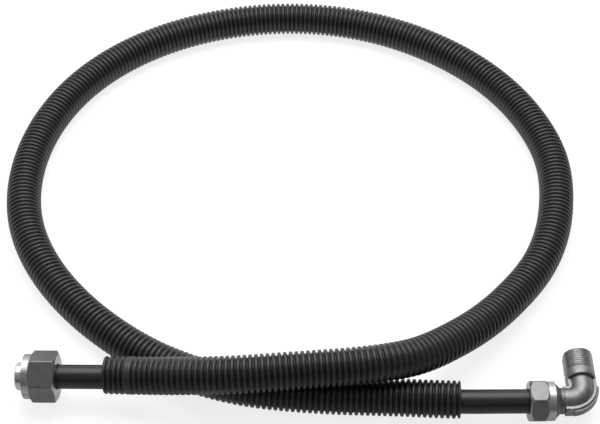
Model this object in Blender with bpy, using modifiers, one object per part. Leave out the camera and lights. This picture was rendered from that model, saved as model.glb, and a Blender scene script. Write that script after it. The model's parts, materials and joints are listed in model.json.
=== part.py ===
"""Drain connection hose, laid on the floor in one loop whose ends cross.

A smooth plastic pipe runs through a corrugated sleeve. One end carries a union nut over a cone
insert, the other a 90 degree elbow with a compression nut and a male thread. Metres, +Z up, and
the floor is z = 0. Run with: blender --background --python part.py
"""

import math

import bmesh
import bpy
import numpy as np
from mathutils import Matrix, Vector

MM = 0.001

# Clearances. Pieces that touch keep GAP, what slides on the faceted pipe keeps PIPE_CLEARANCE.
GAP = 0.3 * MM
PIPE_CLEARANCE = 0.5 * MM
BORE_CLEARANCE = 0.6 * MM

# Pipe and sleeve. The pipe lies low in the sleeve, so the sleeve's axis is off the pipe's.
PIPE_RADIUS = 8.0 * MM
PIPE_WALL = 2.0 * MM
SLEEVE_ROOM = 2.2 * MM
SLEEVE_WALL = 2.3 * MM
SLEEVE_REST_GAP = 0.86 * MM
SLEEVE_RADIUS = PIPE_RADIUS + SLEEVE_ROOM + SLEEVE_WALL
SLEEVE_OFFSET = Vector((0.0, 1.0, 1.0)).normalized() * (SLEEVE_ROOM - SLEEVE_REST_GAP)
SHOWN_PIPE_UNION = 31.2 * MM
SHOWN_PIPE_ELBOW = 44.3 * MM
STATION_COUNT = 41
CORD_BEVEL_RESOLUTION = 4

# The pipe's two ends: place in millimetres, and the direction in which it leaves the hose.
UNION_END = Vector((-178.6, 3.6, 21.2)) * MM
UNION_YAW = math.radians(2.9)
UNION_DIP = math.radians(2.7)
ELBOW_END = Vector((163.5, -11.0, 13.75)) * MM
ELBOW_YAW = math.radians(1.0)
ELBOW_DIP = math.radians(0.7)
ARM_RISE = math.radians(2.0)
UNION_STRAIGHT = 51.0 * MM
ELBOW_STRAIGHT = 60.0 * MM
STRAIGHT_END_POINTS = 4

# Route of the pipe's axis between its straight ends, in millimetres. The strand from the union
# nut passes over the strand to the elbow, and the rest lies on the floor.
ROUTE = (
    (-96.8, -3.5, 28.4), (-82.3, -6.0, 31.5), (-64.8, -8.2, 34.6), (-43.3, -9.0, 36.9),
    (-17.8, -7.6, 37.9), (8.2, -5.4, 38.1), (30.7, -3.0, 37.9), (50.2, 1.0, 36.6),
    (70.2, 9.1, 32.8), (93.2, 25.8, 26.6), (119.7, 51.0, 19.2), (142.8, 79.0, 14.1),
    (161.8, 107.3, 11.9), (174.9, 137.7, 11.6), (182.7, 175.1, 11.6), (183.3, 217.4, 11.6),
    (176.2, 248.3, 11.6), (145.4, 306.2, 11.6), (108.3, 342.7, 11.6), (61.1, 370.0, 11.6),
    (-11.4, 384.6, 11.6), (-84.6, 371.5, 11.6), (-145.4, 335.3, 11.6), (-179.2, 295.5, 11.6),
    (-199.4, 250.5, 11.6), (-207.6, 201.8, 11.6), (-202.9, 152.6, 11.6), (-174.8, 92.4, 11.6),
    (-129.9, 44.2, 11.6), (-105.1, 26.3, 11.6), (-71.0, 9.6, 11.6), (-44.3, 1.2, 11.6),
    (-10.7, -4.2, 11.6), (24.7, -6.8, 11.6), (60.6, -8.5, 12.2),
)

# Tail of each fitting inside the pipe's bore, and its two O-rings.
TAIL_LENGTH = 14.0 * MM
TAIL_WALL = 1.6 * MM
TAIL_RADIUS = PIPE_RADIUS - PIPE_WALL - BORE_CLEARANCE
WATERWAY_RADIUS = TAIL_RADIUS - TAIL_WALL
TAIL_TIP_TAPER = 0.5 * MM
TAIL_GROOVE_DEPTH = 1.0 * MM
TAIL_GROOVE_WIDTH = 1.4 * MM
TAIL_RING_SECTION = 0.35 * MM
TAIL_RING_PLACES = (-4.5 * MM, -9.0 * MM)

# Split clamping rings round the pipe.
RING_WALL = 1.9 * MM
RING_INNER_RADIUS = PIPE_RADIUS + PIPE_CLEARANCE
RING_OUTER_RADIUS = RING_INNER_RADIUS + RING_WALL
RING_SLIT = 1.6 * MM
CONE_SLOPE = 0.575
CONE_SEAT_GAP = 0.6 * MM
RING_TAPER_DEPTH = 1.15 * MM

# Union nut and cone insert. Heights are along the fitting's axis from the pipe's end face.
HEAD_STEP = 1.2 * MM
HEAD_RADIUS = PIPE_RADIUS + HEAD_STEP
HEAD_LENGTH = 12.0 * MM
HEAD_CHAMFER = 1.0 * MM
HEAD_GROOVE_BASE = 2.6 * MM
HEAD_GROOVE_WIDTH = 2.2 * MM
HEAD_GROOVE_DEPTH = 1.3 * MM
HEAD_RING_SECTION = 0.65 * MM
MOUTH_ROOM = 2.85 * MM
UNION_THREAD_RADIUS = HEAD_RADIUS + MOUTH_ROOM
UNION_NUT_WALL = 2.95 * MM
UNION_FLAT_RADIUS = UNION_THREAD_RADIUS + UNION_NUT_WALL
UNION_NUT_FACE = 6.5 * MM
UNION_COLLAR_LENGTH = 4.7 * MM
UNION_HEX_LENGTH = 17.1 * MM
UNION_FRONT_CHAMFER = 1.1 * MM
UNION_REAR_CHAMFER = 1.0 * MM
UNION_CORNER_ANGLE = math.radians(-4.3)
UNION_THREAD_DEPTH = 11.0 * MM
UNION_CHAMBER_LENGTH = 3.5 * MM
UNION_RING_FRONT = -0.5 * MM
CHAMBER_ROOM = 0.4 * MM
CHAMBER_RADIUS = RING_OUTER_RADIUS + CHAMBER_ROOM

# Compression nut. Its chamber is a trace wider than its thread.
COMPRESSION_NUT_WALL = 2.2 * MM
COMPRESSION_FLAT_RADIUS = CHAMBER_RADIUS + COMPRESSION_NUT_WALL
COMPRESSION_COLLAR_LENGTH = 4.8 * MM
COMPRESSION_HEX_LENGTH = 12.2 * MM
COMPRESSION_FRONT_CHAMFER = 2.0 * MM
COMPRESSION_REAR_CHAMFER = 2.4 * MM
COMPRESSION_CORNER_ANGLE = math.radians(4.5)
COMPRESSION_THREAD_STEP = 0.03 * MM
BODY_SLEEVE_GAP = 0.6 * MM
COMPRESSION_RING_LENGTH = 2.3 * MM

# What both nuts share.
COLLAR_INSET = 0.15 * MM
EDGE_BREAK = 0.5 * MM
MOUTH_CHAMFER = 0.8 * MM
REAR_FACE_INSET = 0.6 * MM

# Elbow body. Its bend's centre line is an arc, and heights are from the pipe's end face.
ELBOW_CENTRE = 17.0 * MM
BEND_RADIUS = 10.0 * MM
TUBE_RADIUS = 8.15 * MM
TUBE_START = 0.8 * MM
SHOULDER_BASE = 2.2 * MM
SHOULDER_HEIGHT = 3.5 * MM
SHOULDER_INSET = 1.4 * MM
NECK_RING_RADIUS = 8.6 * MM
NECK_RING_END = 3.6 * MM
BODY_THREAD_LENGTH = 7.1 * MM
BODY_THREAD_RADIUS = RING_OUTER_RADIUS
ARM_COLLAR_START = 15.6 * MM
ARM_COLLAR_RADIUS = 10.2 * MM
ARM_COLLAR_LENGTH = 6.5 * MM
MALE_THREAD_RADIUS = 10.48 * MM
MALE_THREAD_LENGTH = 14.4 * MM
MALE_THREAD_CHAMFER = 0.9 * MM
THREAD_FLAT_DISTANCE = 9.4 * MM
ARM_BORE_RADIUS = 6.4 * MM
RIB_PROUD = 1.2 * MM
RIB_HALF_WIDTH = 4.0 * MM
RIB_START = 3.9 * MM
PAD_PROUD = 2.7 * MM
PAD_HALF_WIDTH = 2.5 * MM
PAD_ANGLES = (math.radians(7.0), math.radians(90.0))
PAD_ROOT = 3.0 * MM
PAD_ROOT_OVERRUN = math.radians(6.0)
ARM_COLLAR_END = ARM_COLLAR_START + ARM_COLLAR_LENGTH
ARM_END = ARM_COLLAR_END + MALE_THREAD_LENGTH

# Fineness of the round pieces.
TURNED_STEPS = 32
O_RING_STEPS = 32
O_RING_SECTION_STEPS = 6
BEND_STEPS = 8
TUBE_BEVEL_RESOLUTION = 10
ROUTE_SAMPLES = 4000
MERGE_DISTANCE = 0.01 * MM
CUT_BEYOND = 3.0 * MM
AXIS_MARK_SIZE = 10.0 * MM

Profile = list[tuple[float, float]]


def clear_scene() -> None:
    """Removes every object of the startup scene."""
    for obj in list(bpy.data.objects):
        bpy.data.objects.remove(obj, do_unlink=True)


def new_collection(name: str) -> bpy.types.Collection:
    """An empty collection in the scene."""
    collection = bpy.data.collections.new(name)
    bpy.context.scene.collection.children.link(collection)
    return collection


def principled(name: str, colour: tuple[float, float, float], roughness: float, metallic: float):
    """A material with one Principled BSDF."""
    material = bpy.data.materials.new(name)
    material.use_nodes = True
    shader = material.node_tree.nodes["Principled BSDF"]
    shader.inputs["Base Color"].default_value = (*colour, 1.0)
    shader.inputs["Roughness"].default_value = roughness
    shader.inputs["Metallic"].default_value = metallic
    return material


def place(obj, collection, parent=None, material=None) -> None:
    """Links an object, hangs it on its axis empty and gives it its material."""
    collection.objects.link(obj)
    obj.parent = parent
    if material is not None:
        obj.data.materials.append(material)


def as_construction(obj) -> None:
    """Marks a form that only cuts or joins: it is drawn as wire and never rendered."""
    obj.hide_render = True
    obj.display_type = "WIRE"


def axis_empty(name: str, location: Vector, outward: Vector, side: Vector, collection):
    """An empty with its +Z along outward and its +X as near to side as a right angle allows."""
    z_axis = outward.normalized()
    x_axis = (side - z_axis * side.dot(z_axis)).normalized()
    y_axis = z_axis.cross(x_axis)
    turn = Matrix((x_axis, y_axis, z_axis)).transposed()
    empty = bpy.data.objects.new(name, None)
    empty.empty_display_size = AXIS_MARK_SIZE
    empty.location = location
    empty.rotation_euler = turn.to_euler()
    collection.objects.link(empty)
    return empty


def heading(yaw: float, dip: float, along_x: float) -> Vector:
    """Unit direction close to world X, turned by yaw towards +Y and lowered by dip."""
    level = math.cos(dip)
    return Vector((along_x * level * math.cos(yaw), level * math.sin(yaw), -math.sin(dip)))


def turned(name: str, profile: Profile, closed: bool = True):
    """A turned solid round local Z from (radius, height) points that run down its outer side."""
    mesh = bpy.data.meshes.new(name)
    count = len(profile)
    edges = [(i, i + 1) for i in range(count - 1)]
    if closed:
        edges.append((count - 1, 0))
    mesh.from_pydata([(radius, 0.0, height) for radius, height in profile], edges, [])
    obj = bpy.data.objects.new(name, mesh)
    screw = obj.modifiers.new("turn", "SCREW")
    screw.axis = "Z"
    screw.steps = TURNED_STEPS
    screw.render_steps = TURNED_STEPS
    screw.use_merge_vertices = True
    screw.merge_threshold = MERGE_DISTANCE
    screw.use_smooth_shade = True
    return obj


def o_ring(name: str, centre_radius: float, section_radius: float, height: float):
    """A torus round local Z, as a small circle turned through a full circle."""
    profile = []
    for i in range(O_RING_SECTION_STEPS):
        angle = -2 * math.pi * i / O_RING_SECTION_STEPS
        profile.append((centre_radius + section_radius * math.cos(angle),
                        height + section_radius * math.sin(angle)))
    obj = turned(name, profile)
    obj.modifiers["turn"].steps = O_RING_STEPS
    obj.modifiers["turn"].render_steps = O_RING_STEPS
    return obj


def hex_bar(name: str, flat_radius: float, corner_angle: float, low: float, high: float):
    """A hexagonal bar round local Z with a corner at corner_angle from local +X."""
    form = bmesh.new()
    corner_radius = flat_radius / math.cos(math.pi / 6)
    bmesh.ops.create_cone(form, cap_ends=True, segments=6, radius1=corner_radius,
                          radius2=corner_radius, depth=high - low)
    form.verts.ensure_lookup_table()
    first_corner = math.atan2(form.verts[0].co.y, form.verts[0].co.x)
    turn = Matrix.Rotation(corner_angle - first_corner, 4, "Z")
    bmesh.ops.transform(form, matrix=Matrix.Translation((0, 0, (low + high) / 2)) @ turn,
                        verts=form.verts)
    mesh = bpy.data.meshes.new(name)
    form.to_mesh(mesh)
    form.free()
    return bpy.data.objects.new(name, mesh)


def box(name: str, low: Vector, high: Vector):
    """A box between two corners."""
    form = bmesh.new()
    bmesh.ops.create_cube(form, size=1.0)
    size = Matrix.Diagonal((*(high - low), 1.0))
    bmesh.ops.transform(form, matrix=Matrix.Translation((low + high) / 2) @ size, verts=form.verts)
    mesh = bpy.data.meshes.new(name)
    form.to_mesh(mesh)
    form.free()
    return bpy.data.objects.new(name, mesh)


def bar(name: str, radius: float, low: float, high: float):
    """A round bar along local Z."""
    return turned(name, [(0.0, high), (radius, high), (radius, low), (0.0, low)], closed=False)


def boolean(target, tool, operation: str) -> None:
    """Joins a tool to a piece, cuts it away or keeps what they share, by the operation's name."""
    modifier = target.modifiers.new(tool.name, "BOOLEAN")
    modifier.operation = operation
    modifier.solver = "EXACT"
    modifier.object = tool


def line_curve(name: str, points, radius: float, resolution: int, caps: bool):
    """A round tube along straight-sided points, as a bevelled curve."""
    curve = bpy.data.curves.new(name, "CURVE")
    curve.dimensions = "3D"
    curve.bevel_depth = radius
    curve.bevel_resolution = resolution
    curve.use_fill_caps = caps
    spline = curve.splines.new("POLY")
    spline.points.add(len(points) - 1)
    for target, point in zip(spline.points, points):
        target.co = (*point, 1.0)
    spline.use_smooth = True
    return bpy.data.objects.new(name, curve)


def curve_to_mesh(obj):
    """Swaps an unplaced curve object for a welded and triangulated mesh object of its shape."""
    name = obj.name
    bpy.context.scene.collection.objects.link(obj)
    graph = bpy.context.evaluated_depsgraph_get()
    mesh = bpy.data.meshes.new_from_object(obj.evaluated_get(graph))
    form = bmesh.new()
    form.from_mesh(mesh)
    bmesh.ops.remove_doubles(form, verts=form.verts, dist=MERGE_DISTANCE)
    bmesh.ops.triangulate(form, faces=form.faces)
    form.to_mesh(mesh)
    form.free()
    made = bpy.data.objects.new(name + "_mesh", mesh)
    made.matrix_world = obj.matrix_world
    bpy.data.objects.remove(obj, do_unlink=True)
    made.name = name
    return made


def plate(name: str, outline: Profile, half_width: float):
    """A flat plate in the elbow's plane from (along the pipe, along the arm) points."""
    curve = bpy.data.curves.new(name, "CURVE")
    curve.dimensions = "2D"
    curve.fill_mode = "BOTH"
    curve.extrude = half_width
    spline = curve.splines.new("POLY")
    spline.points.add(len(outline) - 1)
    for target, (along_pipe, along_arm) in zip(spline.points, outline):
        target.co = (along_arm, along_pipe, 0.0, 1.0)
    spline.use_cyclic_u = True
    made = curve_to_mesh(bpy.data.objects.new(name, curve))
    made.data.transform(Matrix.Rotation(math.pi / 2, 4, "X"))
    return made


def smooth_curve(points: np.ndarray, spacing: np.ndarray):
    """Second derivatives of the natural cubic spline through points at the given spacing."""
    count = len(points)
    system = np.eye(count)
    target = np.zeros_like(points)
    for i in range(1, count - 1):
        before = spacing[i] - spacing[i - 1]
        after = spacing[i + 1] - spacing[i]
        system[i, i - 1:i + 2] = (before, 2 * (before + after), after)
        target[i] = 6 * ((points[i + 1] - points[i]) / after - (points[i] - points[i - 1]) / before)
    return np.linalg.solve(system, target)


def read_curve(points: np.ndarray) -> np.ndarray:
    """Closely spaced points on the natural cubic spline through points."""
    spacing = np.r_[0.0, np.cumsum(np.linalg.norm(np.diff(points, axis=0), axis=1))]
    bend = smooth_curve(points, spacing)
    places = np.linspace(0.0, spacing[-1], ROUTE_SAMPLES)
    i = np.clip(np.searchsorted(spacing, places, side="right") - 1, 0, len(points) - 2)
    width = (spacing[i + 1] - spacing[i])[:, None]
    b = (places - spacing[i])[:, None] / width
    a = 1.0 - b
    cubic = ((a ** 3 - a) * bend[i] + (b ** 3 - b) * bend[i + 1]) * width ** 2 / 6
    return a * points[i] + b * points[i + 1] + cubic


def pipe_route(union_out: Vector, elbow_out: Vector) -> np.ndarray:
    """Route points of the pipe's axis: a straight end, the hand-chosen points, a straight end."""
    shares = [i / (STRAIGHT_END_POINTS - 1) for i in range(STRAIGHT_END_POINTS)]
    start = [UNION_END - union_out * UNION_STRAIGHT * share for share in shares]
    end = [ELBOW_END - elbow_out * ELBOW_STRAIGHT * share for share in reversed(shares)]
    middle = [Vector(point) * MM for point in ROUTE]
    return np.array([tuple(point) for point in start + middle + end])


def at_lengths(line: np.ndarray, places: np.ndarray) -> np.ndarray:
    """Points of a finely divided line at the given lengths from its start."""
    length = np.r_[0.0, np.cumsum(np.linalg.norm(np.diff(line, axis=0), axis=1))]
    return np.column_stack([np.interp(places, length, line[:, axis]) for axis in range(3)])


def hollow_tube(name: str, points, radius: float, wall: float):
    """An open-ended tube with its wall inside the given radius."""
    obj = line_curve(name, points, radius, CORD_BEVEL_RESOLUTION, caps=False)
    solidify = obj.modifiers.new("wall", "SOLIDIFY")
    solidify.thickness = wall
    solidify.offset = -1.0
    solidify.use_even_offset = True
    return obj


def build_cords(parts, materials, union_out: Vector, elbow_out: Vector) -> None:
    """The pipe over its whole length, and the sleeve between the two shown ends of it."""
    line = read_curve(pipe_route(union_out, elbow_out))
    whole = float(np.linalg.norm(np.diff(line, axis=0), axis=1).sum())
    union_nut_rear = UNION_NUT_FACE - UNION_COLLAR_LENGTH - UNION_HEX_LENGTH
    compression_rear = -(SHOULDER_BASE + GAP + COMPRESSION_COLLAR_LENGTH + COMPRESSION_HEX_LENGTH)
    sleeve_start = SHOWN_PIPE_UNION - union_nut_rear
    sleeve_end = whole - (SHOWN_PIPE_ELBOW - compression_rear)
    sleeve_places = np.linspace(sleeve_start, sleeve_end, STATION_COUNT)
    sleeve_points = at_lengths(line, sleeve_places)
    pipe_points = at_lengths(line, np.r_[0.0, sleeve_places, whole])
    pipe = hollow_tube("inner_pipe", pipe_points, PIPE_RADIUS, PIPE_WALL)
    place(pipe, parts, material=materials["pipe"])
    sleeve = hollow_tube("corrugated_sleeve", sleeve_points + np.array(SLEEVE_OFFSET),
                         SLEEVE_RADIUS, SLEEVE_WALL)
    place(sleeve, parts, material=materials["sleeve"])


def tail_side() -> Profile:
    """The tail's outer side from the pipe's end face down to its tip, with two O-ring grooves."""
    side = [(TAIL_RADIUS, GAP)]
    floor = TAIL_RADIUS - TAIL_GROOVE_DEPTH
    for place_z in TAIL_RING_PLACES:
        top = place_z + TAIL_GROOVE_WIDTH / 2
        bottom = place_z - TAIL_GROOVE_WIDTH / 2
        side += [(TAIL_RADIUS, top), (floor, top), (floor, bottom), (TAIL_RADIUS, bottom)]
    side.append((TAIL_RADIUS, -TAIL_LENGTH + TAIL_TIP_TAPER))
    side.append((TAIL_RADIUS - TAIL_TIP_TAPER, -TAIL_LENGTH))
    return side


def build_tail_rings(names, parts, axis, material) -> None:
    """The O-rings in a tail's grooves, named from the front."""
    for name, height in zip(names, TAIL_RING_PLACES):
        place(o_ring(name, TAIL_RADIUS - TAIL_RING_SECTION, TAIL_RING_SECTION, height),
              parts, axis, material)


def nut_blank(name: str, flat_radius: float, heights: tuple[float, float, float],
              chamfers: tuple[float, float], bore: Profile):
    """A nut before its six flats.

    The heights are those of its face, of the step from its collar to its hexagon, and of its rear.
    The chamfers are the lengths of the cones at the hexagon's front and rear.
    """
    face, hex_top, rear = heights
    front_chamfer, rear_chamfer = chamfers
    corner = flat_radius / math.cos(math.pi / 6) + GAP
    collar_radius = flat_radius - COLLAR_INSET
    outside = [
        (collar_radius - EDGE_BREAK, face),
        (collar_radius, face - EDGE_BREAK),
        (collar_radius, hex_top),
        (corner, hex_top - front_chamfer),
        (corner, rear + rear_chamfer),
        (flat_radius - REAR_FACE_INSET, rear),
    ]
    return turned(name, outside + bore)


def nut_bore(face: float, thread_radius: float, thread_end: float, cone_top: float,
             rear: float) -> Profile:
    """The bore from the rear hole up to the mouth: hole, cone, chamber, thread, chamfer."""
    cone_depth = (CHAMBER_RADIUS - RING_INNER_RADIUS) / CONE_SLOPE
    return [
        (RING_INNER_RADIUS, rear),
        (RING_INNER_RADIUS, cone_top - cone_depth),
        (CHAMBER_RADIUS, cone_top),
        (CHAMBER_RADIUS, thread_end),
        (thread_radius, thread_end),
        (thread_radius, face - MOUTH_CHAMFER),
        (thread_radius + MOUTH_CHAMFER, face),
    ]


def clamping_ring(name: str, front: float, cone_top: float):
    """A split ring round the pipe whose rear taper seats in a nut's cone."""
    taper_top = cone_top - CHAMBER_ROOM / CONE_SLOPE + CONE_SEAT_GAP
    rear = taper_top - RING_TAPER_DEPTH / CONE_SLOPE
    ring = turned(name, [
        (RING_OUTER_RADIUS, front),
        (RING_OUTER_RADIUS, taper_top),
        (RING_OUTER_RADIUS - RING_TAPER_DEPTH, rear),
        (RING_INNER_RADIUS, rear),
        (RING_INNER_RADIUS, front),
    ])
    slit = box(name + "_slit", Vector((0.0, -RING_SLIT / 2, rear - CUT_BEYOND)),
               Vector((RING_OUTER_RADIUS + CUT_BEYOND, RING_SLIT / 2, front + CUT_BEYOND)))
    boolean(ring, slit, "DIFFERENCE")
    return ring, slit


def place_with_tools(piece, tools, parts, cutters, axis, material) -> None:
    """Hangs a piece and the forms that shape it on one axis, and hides those forms."""
    place(piece, parts, axis, material)
    for tool in tools:
        place(tool, cutters, axis)
        as_construction(tool)


def build_union_end(parts, cutters, materials, axis) -> None:
    """Cone insert with its O-rings, clamping ring and the loose union nut."""
    groove_top = HEAD_GROOVE_BASE + HEAD_GROOVE_WIDTH
    groove_floor = HEAD_RADIUS - HEAD_GROOVE_DEPTH
    insert = turned("cone_insert", [
        (HEAD_RADIUS - HEAD_CHAMFER, HEAD_LENGTH),
        (HEAD_RADIUS, HEAD_LENGTH - HEAD_CHAMFER),
        (HEAD_RADIUS, groove_top),
        (groove_floor, groove_top),
        (groove_floor, HEAD_GROOVE_BASE),
        (HEAD_RADIUS, HEAD_GROOVE_BASE),
        (HEAD_RADIUS, GAP),
        *tail_side(),
        (WATERWAY_RADIUS, -TAIL_LENGTH),
        (WATERWAY_RADIUS, HEAD_LENGTH),
    ])
    place(insert, parts, axis, materials["brass"])
    place(o_ring("cone_o_ring", groove_floor + GAP + HEAD_RING_SECTION, HEAD_RING_SECTION,
                 HEAD_GROOVE_BASE + HEAD_GROOVE_WIDTH / 2), parts, axis, materials["rubber"])
    build_tail_rings(("insert_o_ring_front", "insert_o_ring_rear"), parts, axis,
                     materials["rubber"])

    thread_end = UNION_NUT_FACE - UNION_THREAD_DEPTH
    cone_top = thread_end - UNION_CHAMBER_LENGTH
    hex_top = UNION_NUT_FACE - UNION_COLLAR_LENGTH
    rear = hex_top - UNION_HEX_LENGTH
    ring, slit = clamping_ring("union_clamping_ring", UNION_RING_FRONT, cone_top)
    place_with_tools(ring, [slit], parts, cutters, axis, materials["brass"])

    bore = nut_bore(UNION_NUT_FACE, UNION_THREAD_RADIUS, thread_end, cone_top, rear)
    nut = nut_blank("union_nut", UNION_FLAT_RADIUS, (UNION_NUT_FACE, hex_top, rear),
                    (UNION_FRONT_CHAMFER, UNION_REAR_CHAMFER), bore)
    flats = hex_bar("union_nut_flats", UNION_FLAT_RADIUS, UNION_CORNER_ANGLE, rear - CUT_BEYOND,
                    UNION_NUT_FACE + CUT_BEYOND)
    boolean(nut, flats, "INTERSECT")
    place_with_tools(nut, [flats], parts, cutters, axis, materials["nut"])


def arc_points(radius: float, angles: tuple[float, float], steps: int) -> Profile:
    """(along the pipe, along the arm) points at a radius from the bend's centre of curvature."""
    corner = ELBOW_CENTRE - BEND_RADIUS
    made = []
    for i in range(steps + 1):
        angle = angles[0] + (angles[1] - angles[0]) * i / steps
        made.append((corner + radius * math.sin(angle), BEND_RADIUS - radius * math.cos(angle)))
    return made


def band_outline(proud: float) -> Profile:
    """Outline of the parting band that stands proud all along the tube in the bend's plane."""
    reach = TUBE_RADIUS + proud
    outer = arc_points(BEND_RADIUS + reach, (0.0, math.pi / 2), BEND_STEPS)
    inner_corner = (ELBOW_CENTRE - reach, reach)
    stop = ARM_COLLAR_START + GAP
    return [(RIB_START, -reach), *outer, (ELBOW_CENTRE + reach, stop),
            (ELBOW_CENTRE - reach, stop), inner_corner, (RIB_START, reach)]


def pad_outline() -> Profile:
    """Outline of the thicker pad round the outside of the bend."""
    first, last = PAD_ANGLES
    outer = arc_points(BEND_RADIUS + TUBE_RADIUS + PAD_PROUD, (first, last), BEND_STEPS)
    inner = arc_points(BEND_RADIUS + TUBE_RADIUS - PAD_ROOT,
                       (last + PAD_ROOT_OVERRUN, first - PAD_ROOT_OVERRUN), BEND_STEPS)
    return outer + inner


def arm_turned(name: str, profile: Profile, closed: bool):
    """A turned form whose axis is the elbow's arm."""
    form = turned(name, profile, closed)
    form.rotation_euler = (0.0, math.pi / 2, 0.0)
    form.location = (0.0, 0.0, ELBOW_CENTRE)
    return form


def elbow_forms() -> list:
    """What is joined to the elbow's bent tube: spigot, arm end, parting band and pad."""
    shoulder_radius = COMPRESSION_FLAT_RADIUS - SHOULDER_INSET
    thread_end = -SHOULDER_BASE - BODY_THREAD_LENGTH
    spigot = turned("elbow_spigot", [
        (0.0, NECK_RING_END),
        (NECK_RING_RADIUS, NECK_RING_END),
        (NECK_RING_RADIUS, SHOULDER_HEIGHT - SHOULDER_BASE),
        (shoulder_radius, GAP - SHOULDER_BASE),
        (shoulder_radius, -SHOULDER_BASE),
        (BODY_THREAD_RADIUS, -SHOULDER_BASE),
        (BODY_THREAD_RADIUS, thread_end + EDGE_BREAK),
        (BODY_THREAD_RADIUS - EDGE_BREAK, thread_end),
        (RING_INNER_RADIUS, thread_end),
        (RING_INNER_RADIUS, GAP),
        *tail_side(),
        (0.0, -TAIL_LENGTH),
    ], closed=False)
    arm = arm_turned("elbow_arm_end", [
        (0.0, ARM_END),
        (MALE_THREAD_RADIUS - MALE_THREAD_CHAMFER, ARM_END),
        (MALE_THREAD_RADIUS, ARM_END - MALE_THREAD_CHAMFER),
        (MALE_THREAD_RADIUS, ARM_COLLAR_END),
        (ARM_COLLAR_RADIUS, ARM_COLLAR_END),
        (ARM_COLLAR_RADIUS, ARM_COLLAR_START + EDGE_BREAK),
        (ARM_COLLAR_RADIUS - EDGE_BREAK, ARM_COLLAR_START),
        (0.0, ARM_COLLAR_START),
    ], closed=False)
    band = plate("elbow_band", band_outline(RIB_PROUD), RIB_HALF_WIDTH)
    pad = plate("elbow_pad", pad_outline(), PAD_HALF_WIDTH)
    return [spigot, arm, band, pad]


def elbow_cutters() -> list:
    """What is cut from the elbow: two flats beside the male thread and the bent waterway."""
    reach = ARM_COLLAR_RADIUS + MALE_THREAD_RADIUS
    start = ARM_COLLAR_START - GAP
    stop = ARM_END + CUT_BEYOND
    near = box("elbow_flat_near", Vector((start, -reach, ELBOW_CENTRE - reach)),
               Vector((stop, reach, ELBOW_CENTRE - THREAD_FLAT_DISTANCE)))
    far = box("elbow_flat_far", Vector((start, -reach, ELBOW_CENTRE + THREAD_FLAT_DISTANCE)),
              Vector((stop, reach, ELBOW_CENTRE + reach)))
    bend = arc_points(BEND_RADIUS, (0.0, math.pi / 2), BEND_STEPS)
    path = [(along_arm, 0.0, along_pipe) for along_pipe, along_arm in bend]
    path = [(0.0, 0.0, NECK_RING_END), *path, (stop, 0.0, ELBOW_CENTRE)]
    waterway = curve_to_mesh(line_curve("elbow_waterway", path, ARM_BORE_RADIUS,
                                        TUBE_BEVEL_RESOLUTION, caps=True))
    tail_bore = bar("elbow_tail_bore", WATERWAY_RADIUS, -TAIL_LENGTH - CUT_BEYOND,
                    ELBOW_CENTRE - BEND_RADIUS)
    return [near, far, waterway, tail_bore]


def build_elbow_end(parts, cutters, materials, axis) -> None:
    """Elbow body with its spigot O-rings, clamping ring and compression nut."""
    bend = arc_points(BEND_RADIUS, (0.0, math.pi / 2), BEND_STEPS)
    path = [(along_arm, 0.0, along_pipe) for along_pipe, along_arm in bend]
    path = [(0.0, 0.0, TUBE_START), *path, (ARM_COLLAR_START + GAP, 0.0, ELBOW_CENTRE)]
    body = curve_to_mesh(line_curve("elbow_body", path, TUBE_RADIUS, TUBE_BEVEL_RESOLUTION,
                                    caps=True))
    forms = elbow_forms()
    for form in forms:
        boolean(body, form, "UNION")
    tools = elbow_cutters()
    for tool in tools:
        boolean(body, tool, "DIFFERENCE")
    place_with_tools(body, forms + tools, parts, cutters, axis, materials["cast"])
    build_tail_rings(("spigot_o_ring_front", "spigot_o_ring_rear"), parts, axis,
                     materials["rubber"])

    body_end = -SHOULDER_BASE - BODY_THREAD_LENGTH
    ring_front = body_end - BODY_SLEEVE_GAP
    cone_top = ring_front - COMPRESSION_RING_LENGTH + CHAMBER_ROOM / CONE_SLOPE - CONE_SEAT_GAP
    ring, slit = clamping_ring("elbow_clamping_ring", ring_front, cone_top)
    place_with_tools(ring, [slit], parts, cutters, axis, materials["brass"])

    face = -SHOULDER_BASE - GAP
    hex_top = face - COMPRESSION_COLLAR_LENGTH
    rear = hex_top - COMPRESSION_HEX_LENGTH
    thread_end = (face + cone_top) / 2
    bore = nut_bore(face, CHAMBER_RADIUS - COMPRESSION_THREAD_STEP, thread_end, cone_top, rear)
    nut = nut_blank("compression_nut", COMPRESSION_FLAT_RADIUS, (face, hex_top, rear),
                    (COMPRESSION_FRONT_CHAMFER, COMPRESSION_REAR_CHAMFER), bore)
    flats = hex_bar("compression_nut_flats", COMPRESSION_FLAT_RADIUS, COMPRESSION_CORNER_ANGLE,
                    rear - CUT_BEYOND, face + CUT_BEYOND)
    boolean(nut, flats, "INTERSECT")
    place_with_tools(nut, [flats], parts, cutters, axis, materials["nut"])


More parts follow.
